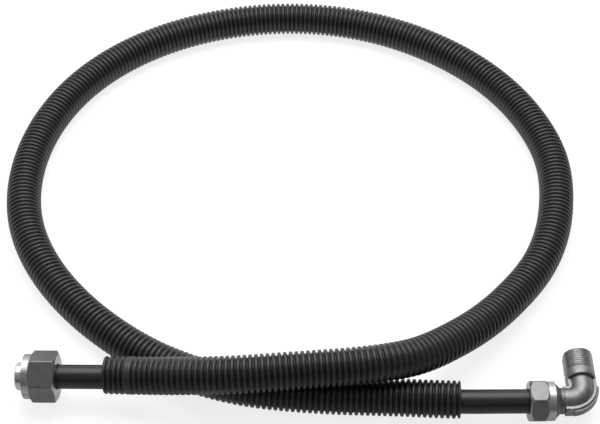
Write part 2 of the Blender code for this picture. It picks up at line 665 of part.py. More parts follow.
def main() -> None:
    """Builds the hose: its axes and materials first, then the cords and both ends."""
    clear_scene()
    parts = new_collection("drain_connection_hose")
    cutters = new_collection("construction")
    materials = {
        "pipe": principled("smooth_black_plastic", (0.02, 0.02, 0.02), 0.35, 0.0),
        "sleeve": principled("corrugated_black_plastic", (0.03, 0.03, 0.03), 0.5, 0.0),
        "nut": principled("turned_nut_metal", (0.5, 0.5, 0.49), 0.35, 1.0),
        "brass": principled("turned_fitting_metal", (0.62, 0.62, 0.6), 0.25, 1.0),
        "cast": principled("cast_fitting_metal", (0.45, 0.45, 0.44), 0.5, 1.0),
        "rubber": principled("black_seal_rubber", (0.02, 0.02, 0.02), 0.6, 0.0),
    }
    union_out = heading(UNION_YAW, UNION_DIP, -1.0)
    elbow_out = heading(ELBOW_YAW, ELBOW_DIP, 1.0)
    arm_out = Vector((0.0, math.cos(ARM_RISE), math.sin(ARM_RISE)))
    union_axis = axis_empty("union_axis", UNION_END, union_out, Vector((0.0, 0.0, 1.0)), parts)
    elbow_axis = axis_empty("elbow_axis", ELBOW_END, elbow_out, arm_out, parts)
    build_cords(parts, materials, union_out, elbow_out)
    build_union_end(parts, cutters, materials, union_axis)
    build_elbow_end(parts, cutters, materials, elbow_axis)


main()
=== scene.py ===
"""Looks of the drain connection hose: ribbed sleeve, smooth pipe, plated nuts and cast elbow.

All lengths are in metres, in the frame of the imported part, whose floor is z = 0.
"""

from __future__ import annotations

import json
import logging
import math
from dataclasses import dataclass, field
from enum import Enum

import bpy
import numpy as np
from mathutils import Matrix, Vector

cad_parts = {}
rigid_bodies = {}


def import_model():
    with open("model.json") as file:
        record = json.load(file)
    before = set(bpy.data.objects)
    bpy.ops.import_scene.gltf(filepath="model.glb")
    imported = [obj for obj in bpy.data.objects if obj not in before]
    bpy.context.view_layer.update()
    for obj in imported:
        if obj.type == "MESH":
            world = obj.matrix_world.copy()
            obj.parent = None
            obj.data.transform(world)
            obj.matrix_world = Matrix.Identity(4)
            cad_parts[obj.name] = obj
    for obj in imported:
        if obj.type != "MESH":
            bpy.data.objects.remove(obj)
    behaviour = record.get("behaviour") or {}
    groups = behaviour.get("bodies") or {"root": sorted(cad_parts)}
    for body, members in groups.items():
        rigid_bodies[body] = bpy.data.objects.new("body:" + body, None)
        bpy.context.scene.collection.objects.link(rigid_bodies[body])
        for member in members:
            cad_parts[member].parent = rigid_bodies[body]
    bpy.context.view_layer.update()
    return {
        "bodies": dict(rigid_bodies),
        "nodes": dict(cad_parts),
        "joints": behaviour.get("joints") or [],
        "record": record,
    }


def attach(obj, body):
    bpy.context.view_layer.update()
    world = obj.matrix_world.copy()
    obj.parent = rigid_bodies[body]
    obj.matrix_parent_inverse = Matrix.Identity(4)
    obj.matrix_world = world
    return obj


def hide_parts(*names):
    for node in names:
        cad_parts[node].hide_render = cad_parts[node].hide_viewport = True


log = logging.getLogger("drain_hose")

Socket = bpy.types.NodeSocket

MM = 0.001
FULL_TURN = 2.0 * math.pi
WHITE = (1.0, 1.0, 1.0, 1.0)
CORD_POINTS = 400

# The least cosine and the least length that anything is divided by.
NEARLY_ZERO = 1e-6
LEAST_LENGTH = 1e-9

# How much of the way to a neighbouring row a rounding may take, and how much a large face counts
# in a normal that it shares with a small one.
ROUNDED_SHARE = 0.4
FLAT_WEIGHT = 60

# The hose's main sizes and its two ends, which the modelled solids have too.
PIPE_RADIUS = 8.0 * MM
PIPE_WALL = 2.0 * MM
SLEEVE_RADIUS = 12.5 * MM
SLEEVE_DROP = 1.34 * MM
UNION_END = np.array((-178.6, 3.6, 21.2)) * MM
UNION_YAW = math.radians(2.9)
UNION_DIP = math.radians(2.7)
ELBOW_END = np.array((163.5, -11.0, 13.75)) * MM
ELBOW_YAW = math.radians(1.0)
ELBOW_DIP = math.radians(0.7)
ARM_RISE = math.radians(2.0)
UNION_STRAIGHT = 51.0 * MM
ELBOW_STRAIGHT = 60.0 * MM
SLEEVE_START = 46.5 * MM
SLEEVE_STOP = 63.8 * MM

# Route of the pipe's axis between its straight ends, in millimetres.
ROUTE = (
    (-96.8, -3.5, 28.4), (-82.3, -6.0, 31.5), (-64.8, -8.2, 34.6), (-43.3, -9.0, 36.9),
    (-17.8, -7.6, 37.9), (8.2, -5.4, 38.1), (30.7, -3.0, 37.9), (50.2, 1.0, 36.6),
    (70.2, 9.1, 32.8), (93.2, 25.8, 26.6), (119.7, 51.0, 19.2), (142.8, 79.0, 14.1),
    (161.8, 107.3, 11.9), (174.9, 137.7, 11.6), (182.7, 175.1, 11.6), (183.3, 217.4, 11.6),
    (176.2, 248.3, 11.6), (145.4, 306.2, 11.6), (108.3, 342.7, 11.6), (61.1, 370.0, 11.6),
    (-11.4, 384.6, 11.6), (-84.6, 371.5, 11.6), (-145.4, 335.3, 11.6), (-179.2, 295.5, 11.6),
    (-199.4, 250.5, 11.6), (-207.6, 201.8, 11.6), (-202.9, 152.6, 11.6), (-174.8, 92.4, 11.6),
    (-129.9, 44.2, 11.6), (-105.1, 26.3, 11.6), (-71.0, 9.6, 11.6), (-44.3, 1.2, 11.6),
    (-10.7, -4.2, 11.6), (24.7, -6.8, 11.6), (60.6, -8.5, 12.2),
)


class Body(Enum):
    """The rigid bodies that pieces ride on."""

    HOSE = "hose"
    LOOSE_NUT = "loose_nut"


class Slot(Enum):
    """The material slots of the part's record."""

    PIPE = "pipe"
    SLEEVE = "sleeve"
    NUT = "nut"
    INSERT = "insert"
    ELBOW = "elbow"
    SEAL = "seal"


def linked(name: str, data: bpy.types.ID) -> bpy.types.Object:
    """Makes an object and links it to the scene.

    Args:
        name: the object's name.
        data: its mesh, lamp or camera.

    Returns:
        The object.
    """
    obj = bpy.data.objects.new(name, data)
    bpy.context.scene.collection.objects.link(obj)
    return obj


def direction(yaw: float, dip: float, along_x: float) -> np.ndarray:
    """Unit direction near X's side along_x, turned by yaw to +Y and lowered by dip, in radians."""
    level = math.cos(dip)
    return np.array((along_x * level * math.cos(yaw), level * math.sin(yaw), -math.sin(dip)))


@dataclass(frozen=True)
class AxisFrame:
    """Own axes of a fitting: z outward along its bore, x to a chosen side."""

    origin: np.ndarray
    axes: np.ndarray

    @classmethod
    def along(cls, origin: np.ndarray, outward: np.ndarray, side: np.ndarray) -> AxisFrame:
        """Frame whose x is the side direction made square to outward.

        Args:
            origin: the frame's origin in the world.
            outward: direction of its z.
            side: direction that its x is nearest to.

        Returns:
            The frame, whose axes are the columns x, y and z.
        """
        z_axis = outward / np.linalg.norm(outward)
        x_axis = side - z_axis * (side @ z_axis)
        x_axis = x_axis / np.linalg.norm(x_axis)
        return cls(origin, np.column_stack((x_axis, np.cross(z_axis, x_axis), z_axis)))

    def to_world(self, points: np.ndarray) -> np.ndarray:
        """World places of points given in this frame."""
        return self.origin + points @ self.axes.T

    def moved(self, along_z: float) -> np.ndarray:
        """World place of a point on the frame's z axis."""
        return self.origin + self.axes[:, 2] * along_z


UNION_FRAME = AxisFrame.along(
    UNION_END, direction(UNION_YAW, UNION_DIP, -1.0), np.array((0.0, 0.0, 1.0)))
ARM_DIRECTION = np.array((0.0, math.cos(ARM_RISE), math.sin(ARM_RISE)))
ELBOW_FRAME = AxisFrame.along(
    ELBOW_END, direction(ELBOW_YAW, ELBOW_DIP, 1.0), ARM_DIRECTION)


@dataclass
class GridSurface:
    """A surface on a grid of rows and columns, put into a mesh as quads.

    Its points have the shape (rows, columns, 3), and its UV map has one row and one column more,
    for the seams where it closes.
    """

    points: np.ndarray
    uv: np.ndarray
    close_rows: bool = True
    close_columns: bool = True

    def corner_places(self) -> tuple[np.ndarray, np.ndarray]:
        """Row and column numbers of every quad's four corners.

        Quad (i, j) has the corners (i, j), (i + 1, j), (i + 1, j + 1) and (i, j + 1), so it faces
        outwards where the rows run down a turned shape's outer side.

        Returns:
            Two arrays of shape (quads, 4), not yet wrapped round.
        """
        rows, columns = self.points.shape[:2]
        i, j = np.meshgrid(np.arange(rows if self.close_rows else rows - 1),
                           np.arange(columns if self.close_columns else columns - 1),
                           indexing="ij")
        i = i.ravel()
        j = j.ravel()
        return (np.column_stack((i, i + 1, i + 1, i)), np.column_stack((j, j, j + 1, j + 1)))

    def to_object(self, name: str, values: dict[str, np.ndarray] | None = None) -> bpy.types.Object:
        """Makes the mesh object, with a UV map in metres and any named values on its points.

        Args:
            name: the object's name.
            values: arrays of shape (rows, columns), each kept as a point attribute.

        Returns:
            The new object, smooth shaded and linked to the scene.
        """
        rows, columns = self.points.shape[:2]
        corner_row, corner_column = self.corner_places()
        index = (corner_row % rows) * columns + corner_column % columns
        mesh = bpy.data.meshes.new(name)
        mesh.from_pydata(self.points.reshape(-1, 3), [], index)
        layer = mesh.uv_layers.new(name="surface")
        layer.data.foreach_set("uv", self.uv[corner_row, corner_column].ravel())
        for title, value in (values or {}).items():
            attribute = mesh.attributes.new(title, "FLOAT", "POINT")
            attribute.data.foreach_set("value", value.astype(np.float32).ravel())
        mesh.shade_smooth()
        return linked(name, mesh)


def flat_normals(obj: bpy.types.Object) -> None:
    """Weights the normals by face area, so that flats stay flat between rounded edges.

    Args:
        obj: the piece.
    """
    modifier = obj.modifiers.new("flat_normals", "WEIGHTED_NORMAL")
    modifier.mode = "FACE_AREA"
    modifier.weight = FLAT_WEIGHT


@dataclass
class TurnedShape:
    """A closed profile turned round a frame's z, whose radii may change with the angle.

    Rows run down the outer side and up the bore. A row is a pair of radius and height, and each of
    the two is a number or an array over the angles.
    """

    frame: AxisFrame
    angles: np.ndarray

    def rows(self, pairs: list[tuple[float | np.ndarray, float | np.ndarray]]) -> np.ndarray:
        """Spreads a profile over the angles.

        Args:
            pairs: the rows, each as its radius and its height.

        Returns:
            An array of shape (rows, angles, 2).
        """
        spread = [np.stack(np.broadcast_arrays(radius, height, self.angles)[:2], axis=-1)
                  for radius, height in pairs]
        return np.array(spread)

    @staticmethod
    def softened(rows: np.ndarray, size: float) -> np.ndarray:
        """Rounds each inner row of an open profile.

        A row P between A and B becomes three: a point up to size before it, the mean of those two
        points and P twice over, and a point up to size after it. It never takes more than two
        fifths of the way to a neighbour.

        Args:
            rows: the profile, of shape (rows, angles, 2).
            size: how far from the edge its rounding starts.

        Returns:
            The rounded profile, with both end rows unchanged.
        """
        middle = rows[1:-1]
        before = rows[:-2] - middle
        after = rows[2:] - middle
        length_before = np.linalg.norm(before, axis=-1, keepdims=True) + LEAST_LENGTH
        length_after = np.linalg.norm(after, axis=-1, keepdims=True) + LEAST_LENGTH
        cut = np.minimum(size, ROUNDED_SHARE * np.minimum(length_before, length_after))
        first = middle + before / length_before * cut
        last = middle + after / length_after * cut
        blend = (first + 2.0 * middle + last) / 4.0
        inner = np.stack((first, blend, last), axis=1).reshape(-1, *rows.shape[1:])
        return np.concatenate((rows[:1], inner, rows[-1:]))

    def build(self, name: str, rows: np.ndarray,
              machined: np.ndarray | float = 1.0) -> bpy.types.Object:
        """Turns the profile into a mesh object whose UV map is unrolled in metres.

        Args:
            name: the object's name.
            rows: the closed profile, of shape (rows, angles, 2).
            machined: 0 where the surface is raw, and 1 where a tool has turned it.

        Returns:
            The object.
        """
        radius = rows[..., 0]
        height = rows[..., 1]
        local = np.stack((radius * np.cos(self.angles), radius * np.sin(self.angles), height),
                         axis=-1)
        closed = np.concatenate((rows, rows[:1]))
        steps = np.linalg.norm(np.diff(closed.mean(axis=1), axis=0), axis=-1)
        along = np.r_[0.0, np.cumsum(steps)]
        around = np.r_[self.angles, self.angles[0] + FULL_TURN] * radius.max()
        uv = np.stack(np.meshgrid(around, along), axis=-1)
        worked = np.broadcast_to(machined, radius.shape)
        return GridSurface(self.frame.to_world(local), uv).to_object(name, {"machined": worked})


def even_angles(count: int) -> np.ndarray:
    """Evenly spaced angles of one full turn."""
    return np.arange(count) * FULL_TURN / count


@dataclass(frozen=True)
class ScrewThread:
    """A right-handed thread with a rounded ridge, as a radius over angle and height.

    The ridge is a raised cosine of the place (height / pitch - angle / full turn), sharpened a
    little at its crest, so one turn lifts it by one pitch.
    """

    crest: float
    depth: float
    pitch: float
    rows_per_turn: int = 10
    sharpness: float = 0.8

    def radius(self, angle: np.ndarray, height: np.ndarray) -> np.ndarray:
        """Radius of the ridged surface.

        Args:
            angle: the angles round the axis.
            height: the heights along it.

        Returns:
            The radii there.
        """
        place = height / self.pitch - angle / FULL_TURN
        ridge = 0.5 + 0.5 * np.cos(FULL_TURN * place)
        return self.crest - self.depth * (1.0 - ridge ** self.sharpness)

    def rows(self, angles: np.ndarray, first: float, last: float) -> np.ndarray:
        """Rows of the thread between two heights.

        Args:
            angles: the columns' angles.
            first: the height of the first row.
            last: the height of the last row.

        Returns:
            An array of shape (rows, angles, 2).
        """
        count = max(2, int(abs(last - first) / self.pitch * self.rows_per_turn))
        height = np.linspace(first, last, count)[:, None] * np.ones(len(angles))
        return np.stack((self.radius(angles[None, :], height), height), axis=-1)


@dataclass(frozen=True)
class Hexagon:
    """The six flats of a nut, with rounded corners."""

    flat_radius: float
    corner_angle: float = 0.0
    corner_rounding: float = 0.45 * MM

    # The columns of a corner, in shares of its rounding's half angle, and how many a flat has.
    corner_columns: tuple[float, ...] = (-1.0, -0.6, -0.2, 0.2, 0.6, 1.0)
    flat_columns: int = 12

    @property
    def centre(self) -> float:
        """Distance of a corner's rounding centre from the axis."""
        return (self.flat_radius - self.corner_rounding) / math.cos(math.pi / 6)

    @property
    def reach(self) -> float:
        """Radius of the rounded corner."""
        return self.centre + self.corner_rounding

    @property
    def rounded_half(self) -> float:
        """Half the angle that a corner's rounding takes, seen from the axis."""
        return math.atan2(self.corner_rounding * 0.5,
                          self.centre + self.corner_rounding * math.cos(math.pi / 6))

    def angles(self) -> np.ndarray:
        """Column angles: close together round each corner, and even on the flats between.

        Returns:
            The angles of one full turn, from the first corner's rounding on.
        """
        half = self.rounded_half
        corner = half * np.array(self.corner_columns)
        flat = np.linspace(half, math.pi / 3 - half, self.flat_columns + 2)[1:-1]
        sector = np.r_[corner, flat]
        turns = np.arange(6) * math.pi / 3
        return (self.corner_angle + turns[:, None] + sector[None, :]).ravel()

    def radius(self, angle: np.ndarray) -> np.ndarray:
        """Radius of the hexagon at each angle.

        On a flat it is the flat's distance over the cosine of the angle to its middle. Within a
        corner's rounding it is the far side of a circle seen from the axis.

        Args:
            angle: the angles.

        Returns:
            The radii there.
        """
        from_corner = np.abs((angle - self.corner_angle + math.pi / 6) % (math.pi / 3)
                             - math.pi / 6)
        flat = self.flat_radius / np.cos(math.pi / 6 - from_corner)
        across = np.clip(self.corner_rounding ** 2
                         - (self.centre * np.sin(from_corner)) ** 2, 0.0, None)
        rounded = self.centre * np.cos(from_corner) + np.sqrt(across)
        return np.where(from_corner < self.rounded_half, rounded, flat)


class Mixed(Enum):
    """What a mix joins: the data type of its node, and the type of its sockets."""

    NUMBER = ("FLOAT", "VALUE")
    COLOUR = ("RGBA", "RGBA")


class Bench:
    """Lays out the nodes of a material or a world, and joins them."""

    def __init__(self, tree: bpy.types.NodeTree) -> None:
        """Starts work on a tree of nodes."""
        self.tree = tree

    def add(self, kind: str, **values: object) -> bpy.types.Node:
        """Adds a node and sets its inputs.

        Args:
            kind: the node's type.
            **values: the inputs' values, by names whose spaces are written as underscores.

        Returns:
            The node.
        """
        node = self.tree.nodes.new(kind)
        for name, value in values.items():
            node.inputs[name.replace("_", " ")].default_value = value
        return node

    def join(self, source: Socket | float | tuple[float, ...],
             target: Socket) -> None:
        """Links one socket to another, or sets it to a plain value.

        Args:
            source: the socket, number or colour that is given.
            target: the socket that takes it.
        """
        if isinstance(source, Socket):
            self.tree.links.new(source, target)
        else:
            target.default_value = source

    def place(self, stretch: tuple[float, float, float] = (1.0, 1.0, 1.0),
              on_surface: bool = False) -> Socket:
        """A place on the object, or on its unrolled surface.

        Args:
            stretch: what the place's three numbers are multiplied by.
            on_surface: whether it is the place on the unrolled surface.

        Returns:
            The socket that gives the place.
        """
        mapping = self.add("ShaderNodeMapping", Scale=stretch)
        if on_surface:
            source = self.add("ShaderNodeUVMap").outputs["UV"]
        else:
            source = self.add("ShaderNodeTexCoord").outputs["Object"]
        self.join(source, mapping.inputs["Vector"])
        return mapping.outputs["Vector"]

    def noise(self, place: Socket, density: float,
              detail: float = 3.0) -> Socket:
        """Cloudy noise between 0 and 1.

        Args:
            place: the socket of the place that it is read at.
            density: how many of its lumps fit in one unit of the place.
            detail: how many finer layers it has.

        Returns:
            The socket of the noise.
        """
        node = self.add("ShaderNodeTexNoise", Scale=density, Detail=detail)
        self.join(place, node.inputs["Vector"])
        return node.outputs["Fac"]

    def spread(self, value: Socket, low: float, high: float,
               start: float = 0.3, stop: float = 0.7) -> Socket:
        """A value carried from one range to another, and held inside it.

        Args:
            value: the socket of the value.
            low: what start becomes.
            high: what stop becomes.
            start: the value's own low end.
            stop: the value's own high end.

        Returns:
            The socket of the carried value.
        """
        node = self.add("ShaderNodeMapRange", From_Min=start, From_Max=stop, To_Min=low,
                        To_Max=high)
        self.join(value, node.inputs["Value"])
        return node.outputs["Result"]

    def blend(self, factor: Socket, dark: tuple[float, float, float],
              light: tuple[float, float, float]) -> Socket:
        """A colour between dark, for a factor of 0, and light, for a factor of 1."""
        return self.mix(Mixed.COLOUR, factor, (*dark, 1.0), (*light, 1.0))

    def mix(self, kind: Mixed, factor: Socket,
            first: Socket | tuple[float, ...],
            second: Socket | tuple[float, ...]) -> Socket:
        """A number or colour between two.

        Args:
            kind: what is mixed.
            factor: the socket of the factor, 0 for first and 1 for second.
            first: one end, as a socket or a plain value.
            second: the other end.

        Returns:
            The socket of the mixed value.
        """
        node = self.tree.nodes.new("ShaderNodeMix")
        node.data_type, socket_type = kind.value
        ends = [socket for socket in node.inputs if socket.type == socket_type][-2:]
        self.join(factor, node.inputs["Factor"])
        self.join(first, ends[0])
        self.join(second, ends[1])
        return next(socket for socket in node.outputs if socket.type == socket_type)

    def reckon(self, operation: str, first: Socket,
               second: Socket | float) -> Socket:
        """Two values joined by a sum.

        Args:
            operation: the name of the sum, such as MULTIPLY.
            first: the socket of the first value.
            second: the second value, or its socket.

        Returns:
            The socket of the result.
        """
        node = self.tree.nodes.new("ShaderNodeMath")
        node.operation = operation
        self.join(first, node.inputs[0])
        self.join(second, node.inputs[1])
        return node.outputs["Value"]

    def attribute(self, name: str) -> Socket:
        """A value kept on the piece's points, or 0 where it has none.

        Args:
            name: the value's name.

        Returns:
            The socket of the value.
        """
        node = self.tree.nodes.new("ShaderNodeAttribute")
        node.attribute_name = name
        return node.outputs["Fac"]

    def bump(self, height: Socket,
             below: Socket | None = None) -> Socket:
        """A bump from a height in metres.

        Args:
            height: the socket of the height.
            below: the socket of another bump that this one lies on.

        Returns:
            The socket of the bumped direction.
        """
        node = self.add("ShaderNodeBump", Strength=1.0, Distance=1.0)
        self.join(height, node.inputs["Height"])
        if below is not None:
            self.join(below, node.inputs["Normal"])
        return node.outputs["Normal"]


class MaterialBench(Bench):
    """A bench with a material of its own, and that material's shader."""

    def __init__(self, name: str) -> None:
        """Starts a material with a Principled shader.

        Args:
            name: the material's name.
        """
        self.material = bpy.data.materials.new(name)
        self.material.use_nodes = True
        super().__init__(self.material.node_tree)
        self.shader = self.tree.nodes["Principled BSDF"]

    def finished(self, colour: Socket | tuple[float, ...],
                 roughness: Socket,
                 bumped: Socket) -> bpy.types.Material:
        """Completes the shader.

        Args:
            colour: the surface's colour, as a socket or a plain value.
            roughness: the socket of its roughness.
            bumped: the socket of its bumped direction.

        Returns:
            The material.
        """
        self.join(colour, self.shader.inputs["Base Color"])
        self.join(roughness, self.shader.inputs["Roughness"])
        self.join(bumped, self.shader.inputs["Normal"])
        return self.material


@dataclass(frozen=True)
class RibbedPlastic:
    """Blown black plastic of the sleeve, with a painted sheen on its ribs' crests and painted shade
    in its grooves, broken up by a rub noise.
    """

    # The groove colour is painted shade and the crest colour a painted sheen.
    groove: tuple[float, float, float] = (0.007, 0.007, 0.007)
    crest: tuple[float, float, float] = (0.024, 0.024, 0.024)
    roughness: tuple[float, float] = (0.30, 0.42)
    rub_density: float = 160.0
    least_rub: float = 0.55
    grain_density: float = 900.0
    grain_depth: float = 0.008 * MM

    def material(self) -> bpy.types.Material:
        """Painted shade darkens the grooves and a painted sheen lightens the crests, with a fine
        blown grain.

        Returns:
            The material.
        """
        bench = MaterialBench("ribbed_black_plastic")
        place = bench.place()
        # Painted crest sheen, broken up by a rub noise; the grooves keep the painted shade.
        rub = bench.spread(bench.noise(place, self.rub_density, detail=4.0), self.least_rub, 1.0)
        painted_crest_sheen = bench.reckon("MULTIPLY", bench.attribute("crest"), rub)
        grain = bench.noise(place, self.grain_density, detail=2.0)
        return bench.finished(bench.blend(painted_crest_sheen, self.groove, self.crest),
                              bench.spread(grain, *self.roughness),
                              bench.bump(bench.reckon("MULTIPLY", grain, self.grain_depth)))


@dataclass(frozen=True)
class SmoothPipePlastic:
    """Extruded black pipe: glossy, with faint die lines along it and light scuffs."""

    colour: tuple[float, float, float] = (0.010, 0.010, 0.010)
    scuffed: tuple[float, float, float] = (0.022, 0.022, 0.022)
    roughness: tuple[float, float] = (0.28, 0.36)
    line_stretch: tuple[float, float, float] = (4.0, 900.0, 1.0)
    line_depth: float = 0.006 * MM
    scuff_density: float = 240.0
    scuff_depth: float = 0.003 * MM
    scuff_range: tuple[float, float] = (0.58, 0.80)

    def material(self) -> bpy.types.Material:
        """Die lines run along the unrolled surface's first axis, and scuffs lie anywhere.

        Returns:
            The material.
        """
        bench = MaterialBench("smooth_black_pipe")
        lines = bench.noise(bench.place(self.line_stretch, on_surface=True), 1.0)
        scuffs = bench.noise(bench.place(), self.scuff_density, detail=6.0)
        scuffed = bench.spread(scuffs, 0.0, 1.0, *self.scuff_range)
        drawn = bench.bump(bench.reckon("MULTIPLY", lines, self.line_depth))
        worn = bench.bump(bench.reckon("MULTIPLY", scuffs, self.scuff_depth), drawn)
        return bench.finished(bench.blend(scuffed, self.colour, self.scuffed),
                              bench.spread(scuffs, *self.roughness), worn)


@dataclass(frozen=True)
class MetalState:
    """Tint, gloss and relief of a metal surface in one state, such as forged or turned."""

    dark: float
    light: float
    roughness: tuple[float, float]
    relief: float
    blue_share: float = 0.985

    def colour(self, bench: Bench, cloud: Socket) -> Socket:
        """The plating's grey, from dark to light as the cloud thickens."""
        dark, light = ((grey, grey, grey * self.blue_share) for grey in (self.dark, self.light))
        return bench.blend(bench.spread(cloud, 0.0, 1.0), dark, light)


@dataclass(frozen=True)
class PlatedMetal:
    """Nickel-plated brass, raw in some places and turned in others.

    A piece's own values say where: machined is 0 on its raw skin and 1 where a tool has been.
    """

    name: str
    raw: MetalState
    turned: MetalState
    grain_density: float = 1500.0
    cloud_density: float = 200.0
    swell: float = 0.0
    mark_stretch: tuple[float, float, float] = (40.0, 3200.0, 1.0)

    def material(self) -> bpy.types.Material:
        """A grain on the raw skin, tool marks round the turned parts, and a cloudy tint.

        Returns:
            The material.
        """
        bench = MaterialBench(self.name)
        bench.shader.inputs["Metallic"].default_value = 1.0
        place = bench.place()
        cloud = bench.noise(place, self.cloud_density, detail=4.0)
        grain = bench.noise(place, self.grain_density)
        marks = bench.noise(bench.place(self.mark_stretch, on_surface=True), 1.0, detail=4.0)
        machined = bench.attribute("machined")
        colour = bench.mix(Mixed.COLOUR, machined, self.raw.colour(bench, cloud),
                           self.turned.colour(bench, cloud))
        roughness = bench.mix(Mixed.NUMBER, machined, bench.spread(grain, *self.raw.roughness),
                              bench.spread(marks, *self.turned.roughness))
        relief = bench.mix(Mixed.NUMBER, machined,
                           bench.reckon("MULTIPLY", grain, self.raw.relief),
                           bench.reckon("MULTIPLY", marks, self.turned.relief))
        uneven = bench.bump(bench.reckon("MULTIPLY", cloud, self.swell))
        return bench.finished(colour, roughness, bench.bump(relief, uneven))


@dataclass(frozen=True)
class SealRubber:
    """Black rubber of the sealing rings, with a trace of grease."""

    colour: tuple[float, float, float] = (0.012, 0.012, 0.012)
    roughness: tuple[float, float] = (0.35, 0.6)
    grease_density: float = 400.0
    grease_depth: float = 0.006 * MM

    def material(self) -> bpy.types.Material:
        """Even black, shinier where grease lies.

        Returns:
            The material.
        """
        bench = MaterialBench("seal_rubber")
        grease = bench.noise(bench.place(), self.grease_density, detail=2.0)
        return bench.finished((*self.colour, 1.0), bench.spread(grease, *self.roughness),
                              bench.bump(bench.reckon("MULTIPLY", grease, self.grease_depth)))


FORGED = MetalState(0.165, 0.205, (0.36, 0.44), 0.003 * MM)
TURNED = MetalState(0.42, 0.52, (0.28, 0.38), 0.012 * MM)
POLISHED = MetalState(0.54, 0.62, (0.20, 0.28), 0.008 * MM)
CAST = MetalState(0.19, 0.29, (0.38, 0.50), 0.065 * MM)


@dataclass
class Finishes:
    """One material for each finish of the hose."""

    sleeve: bpy.types.Material = field(default_factory=lambda: RibbedPlastic().material())
    pipe: bpy.types.Material = field(default_factory=lambda: SmoothPipePlastic().material())
    nut: bpy.types.Material = field(
        default_factory=lambda: PlatedMetal("plated_nut", FORGED, TURNED).material())
    turned: bpy.types.Material = field(
        default_factory=lambda: PlatedMetal("plated_turning", TURNED, POLISHED).material())
    cast: bpy.types.Material = field(
        default_factory=lambda: PlatedMetal("plated_casting", CAST, TURNED, swell=0.08 * MM,
                                            cloud_density=260.0).material())
    rubber: bpy.types.Material = field(default_factory=lambda: SealRubber().material())


@dataclass
class Dresser:
    """Gives a finished piece its material and the body that it rides on."""

    finishes: Finishes

    def dress(self, obj: bpy.types.Object, material: bpy.types.Material, slot: Slot,
              body: Body, *nodes: str) -> None:
        """Finishes one piece.

        Args:
            obj: the piece.
            material: its material.
            slot: the record's slot that it belongs to; not used.
            body: the body that it rides on.
            *nodes: the solids that it stands for.
        """
        obj.data.materials.clear()
        obj.data.materials.append(material)
        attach(obj, body.value)
        if nodes:
            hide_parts(*nodes)
        log.info("%s: %d faces on %s", obj.name, len(obj.data.polygons), body.value)


@dataclass
class HosePath:
    """The pipe's axis as a natural cubic spline through its route points."""

    samples: int = 6000

    def __post_init__(self) -> None:
        """Works out closely spaced points on the axis and their lengths from its start."""
        shares = np.arange(4)[:, None] / 3.0
        start = UNION_END - UNION_FRAME.axes[:, 2] * UNION_STRAIGHT * shares
        end = ELBOW_END - ELBOW_FRAME.axes[:, 2] * ELBOW_STRAIGHT * shares[::-1]
        self.points = self.spline(np.vstack((start, np.array(ROUTE) * MM, end)))
        steps = np.linalg.norm(np.diff(self.points, axis=0), axis=1)
        self.lengths = np.r_[0.0, np.cumsum(steps)]

    @property
    def length(self) -> float:
        """Length of the pipe's axis."""
        return float(self.lengths[-1])

    def spline(self, knots: np.ndarray) -> np.ndarray:
        """Closely spaced points on the natural cubic spline through knots.

        The second derivatives M at the knots solve, for neighbouring gaps g and h,
        g M(-) + 2 (g + h) M + h M(+) = 6 (slope after - slope before), and are zero at both ends.

        Args:
            knots: the route points.

        Returns:
            The points, of shape (samples, 3).
        """
        place = np.r_[0.0, np.cumsum(np.linalg.norm(np.diff(knots, axis=0), axis=1))]
        gap = np.diff(place)
        slope = np.diff(knots, axis=0) / gap[:, None]
        system = np.diag(np.r_[1.0, 2.0 * (gap[:-1] + gap[1:]), 1.0])
        inner = np.arange(1, len(knots) - 1)
        system[inner, inner - 1] = gap[:-1]
        system[inner, inner + 1] = gap[1:]
        target = np.zeros_like(knots)
        target[1:-1] = 6.0 * np.diff(slope, axis=0)
        bend = np.linalg.solve(system, target)
        at = np.linspace(0.0, place[-1], self.samples)
        i = np.clip(np.searchsorted(place, at, side="right") - 1, 0, len(gap) - 1)
        width = gap[i][:, None]
        b = (at - place[i])[:, None] / width
        a = 1.0 - b
        cubic = ((a ** 3 - a) * bend[i] + (b ** 3 - b) * bend[i + 1]) * width ** 2 / 6.0
        return a * knots[i] + b * knots[i + 1] + cubic

    def at(self, places: np.ndarray) -> np.ndarray:
        """Points of the axis at lengths from its start."""
        return np.column_stack([np.interp(places, self.lengths, self.points[:, axis])
                                for axis in range(3)])

    def tube(self, places: np.ndarray, radii: np.ndarray, around: int,
             shift: np.ndarray) -> GridSurface:
        """A tube round the axis, whose rows have a place along it and a radius.

        Each ring lies square to the path. Its first direction is to the side, the path's
        direction crossed with world up, and its second is square to both.

        Args:
            places: lengths along the axis, one a row, first the outer side and then the inner.
            radii: the rings' radii.
            around: points in a ring.
            shift: how far the tube lies off the axis.

        Returns:
            The closed surface.
        """
        reach = 1.0 * MM
        centre = self.at(places) + shift
        ahead = self.at(places + reach) - self.at(places - reach)
        ahead /= np.linalg.norm(ahead, axis=1, keepdims=True)
        side = np.cross(ahead, (0.0, 0.0, 1.0))
        side /= np.linalg.norm(side, axis=1, keepdims=True)
        lift = np.cross(side, ahead)
        turn = even_angles(around)
        ring = (np.cos(turn)[None, :, None] * lift[:, None, :]
                + np.sin(turn)[None, :, None] * side[:, None, :])
        points = centre[:, None, :] + radii[:, None, None] * ring
        unrolled = np.arange(around + 1) / around * FULL_TURN * radii.max()
        along = np.r_[places, places[0]]
        uv = np.stack(np.broadcast_arrays(along[:, None], unrolled[None, :]), axis=-1)
        return GridSurface(points, uv)


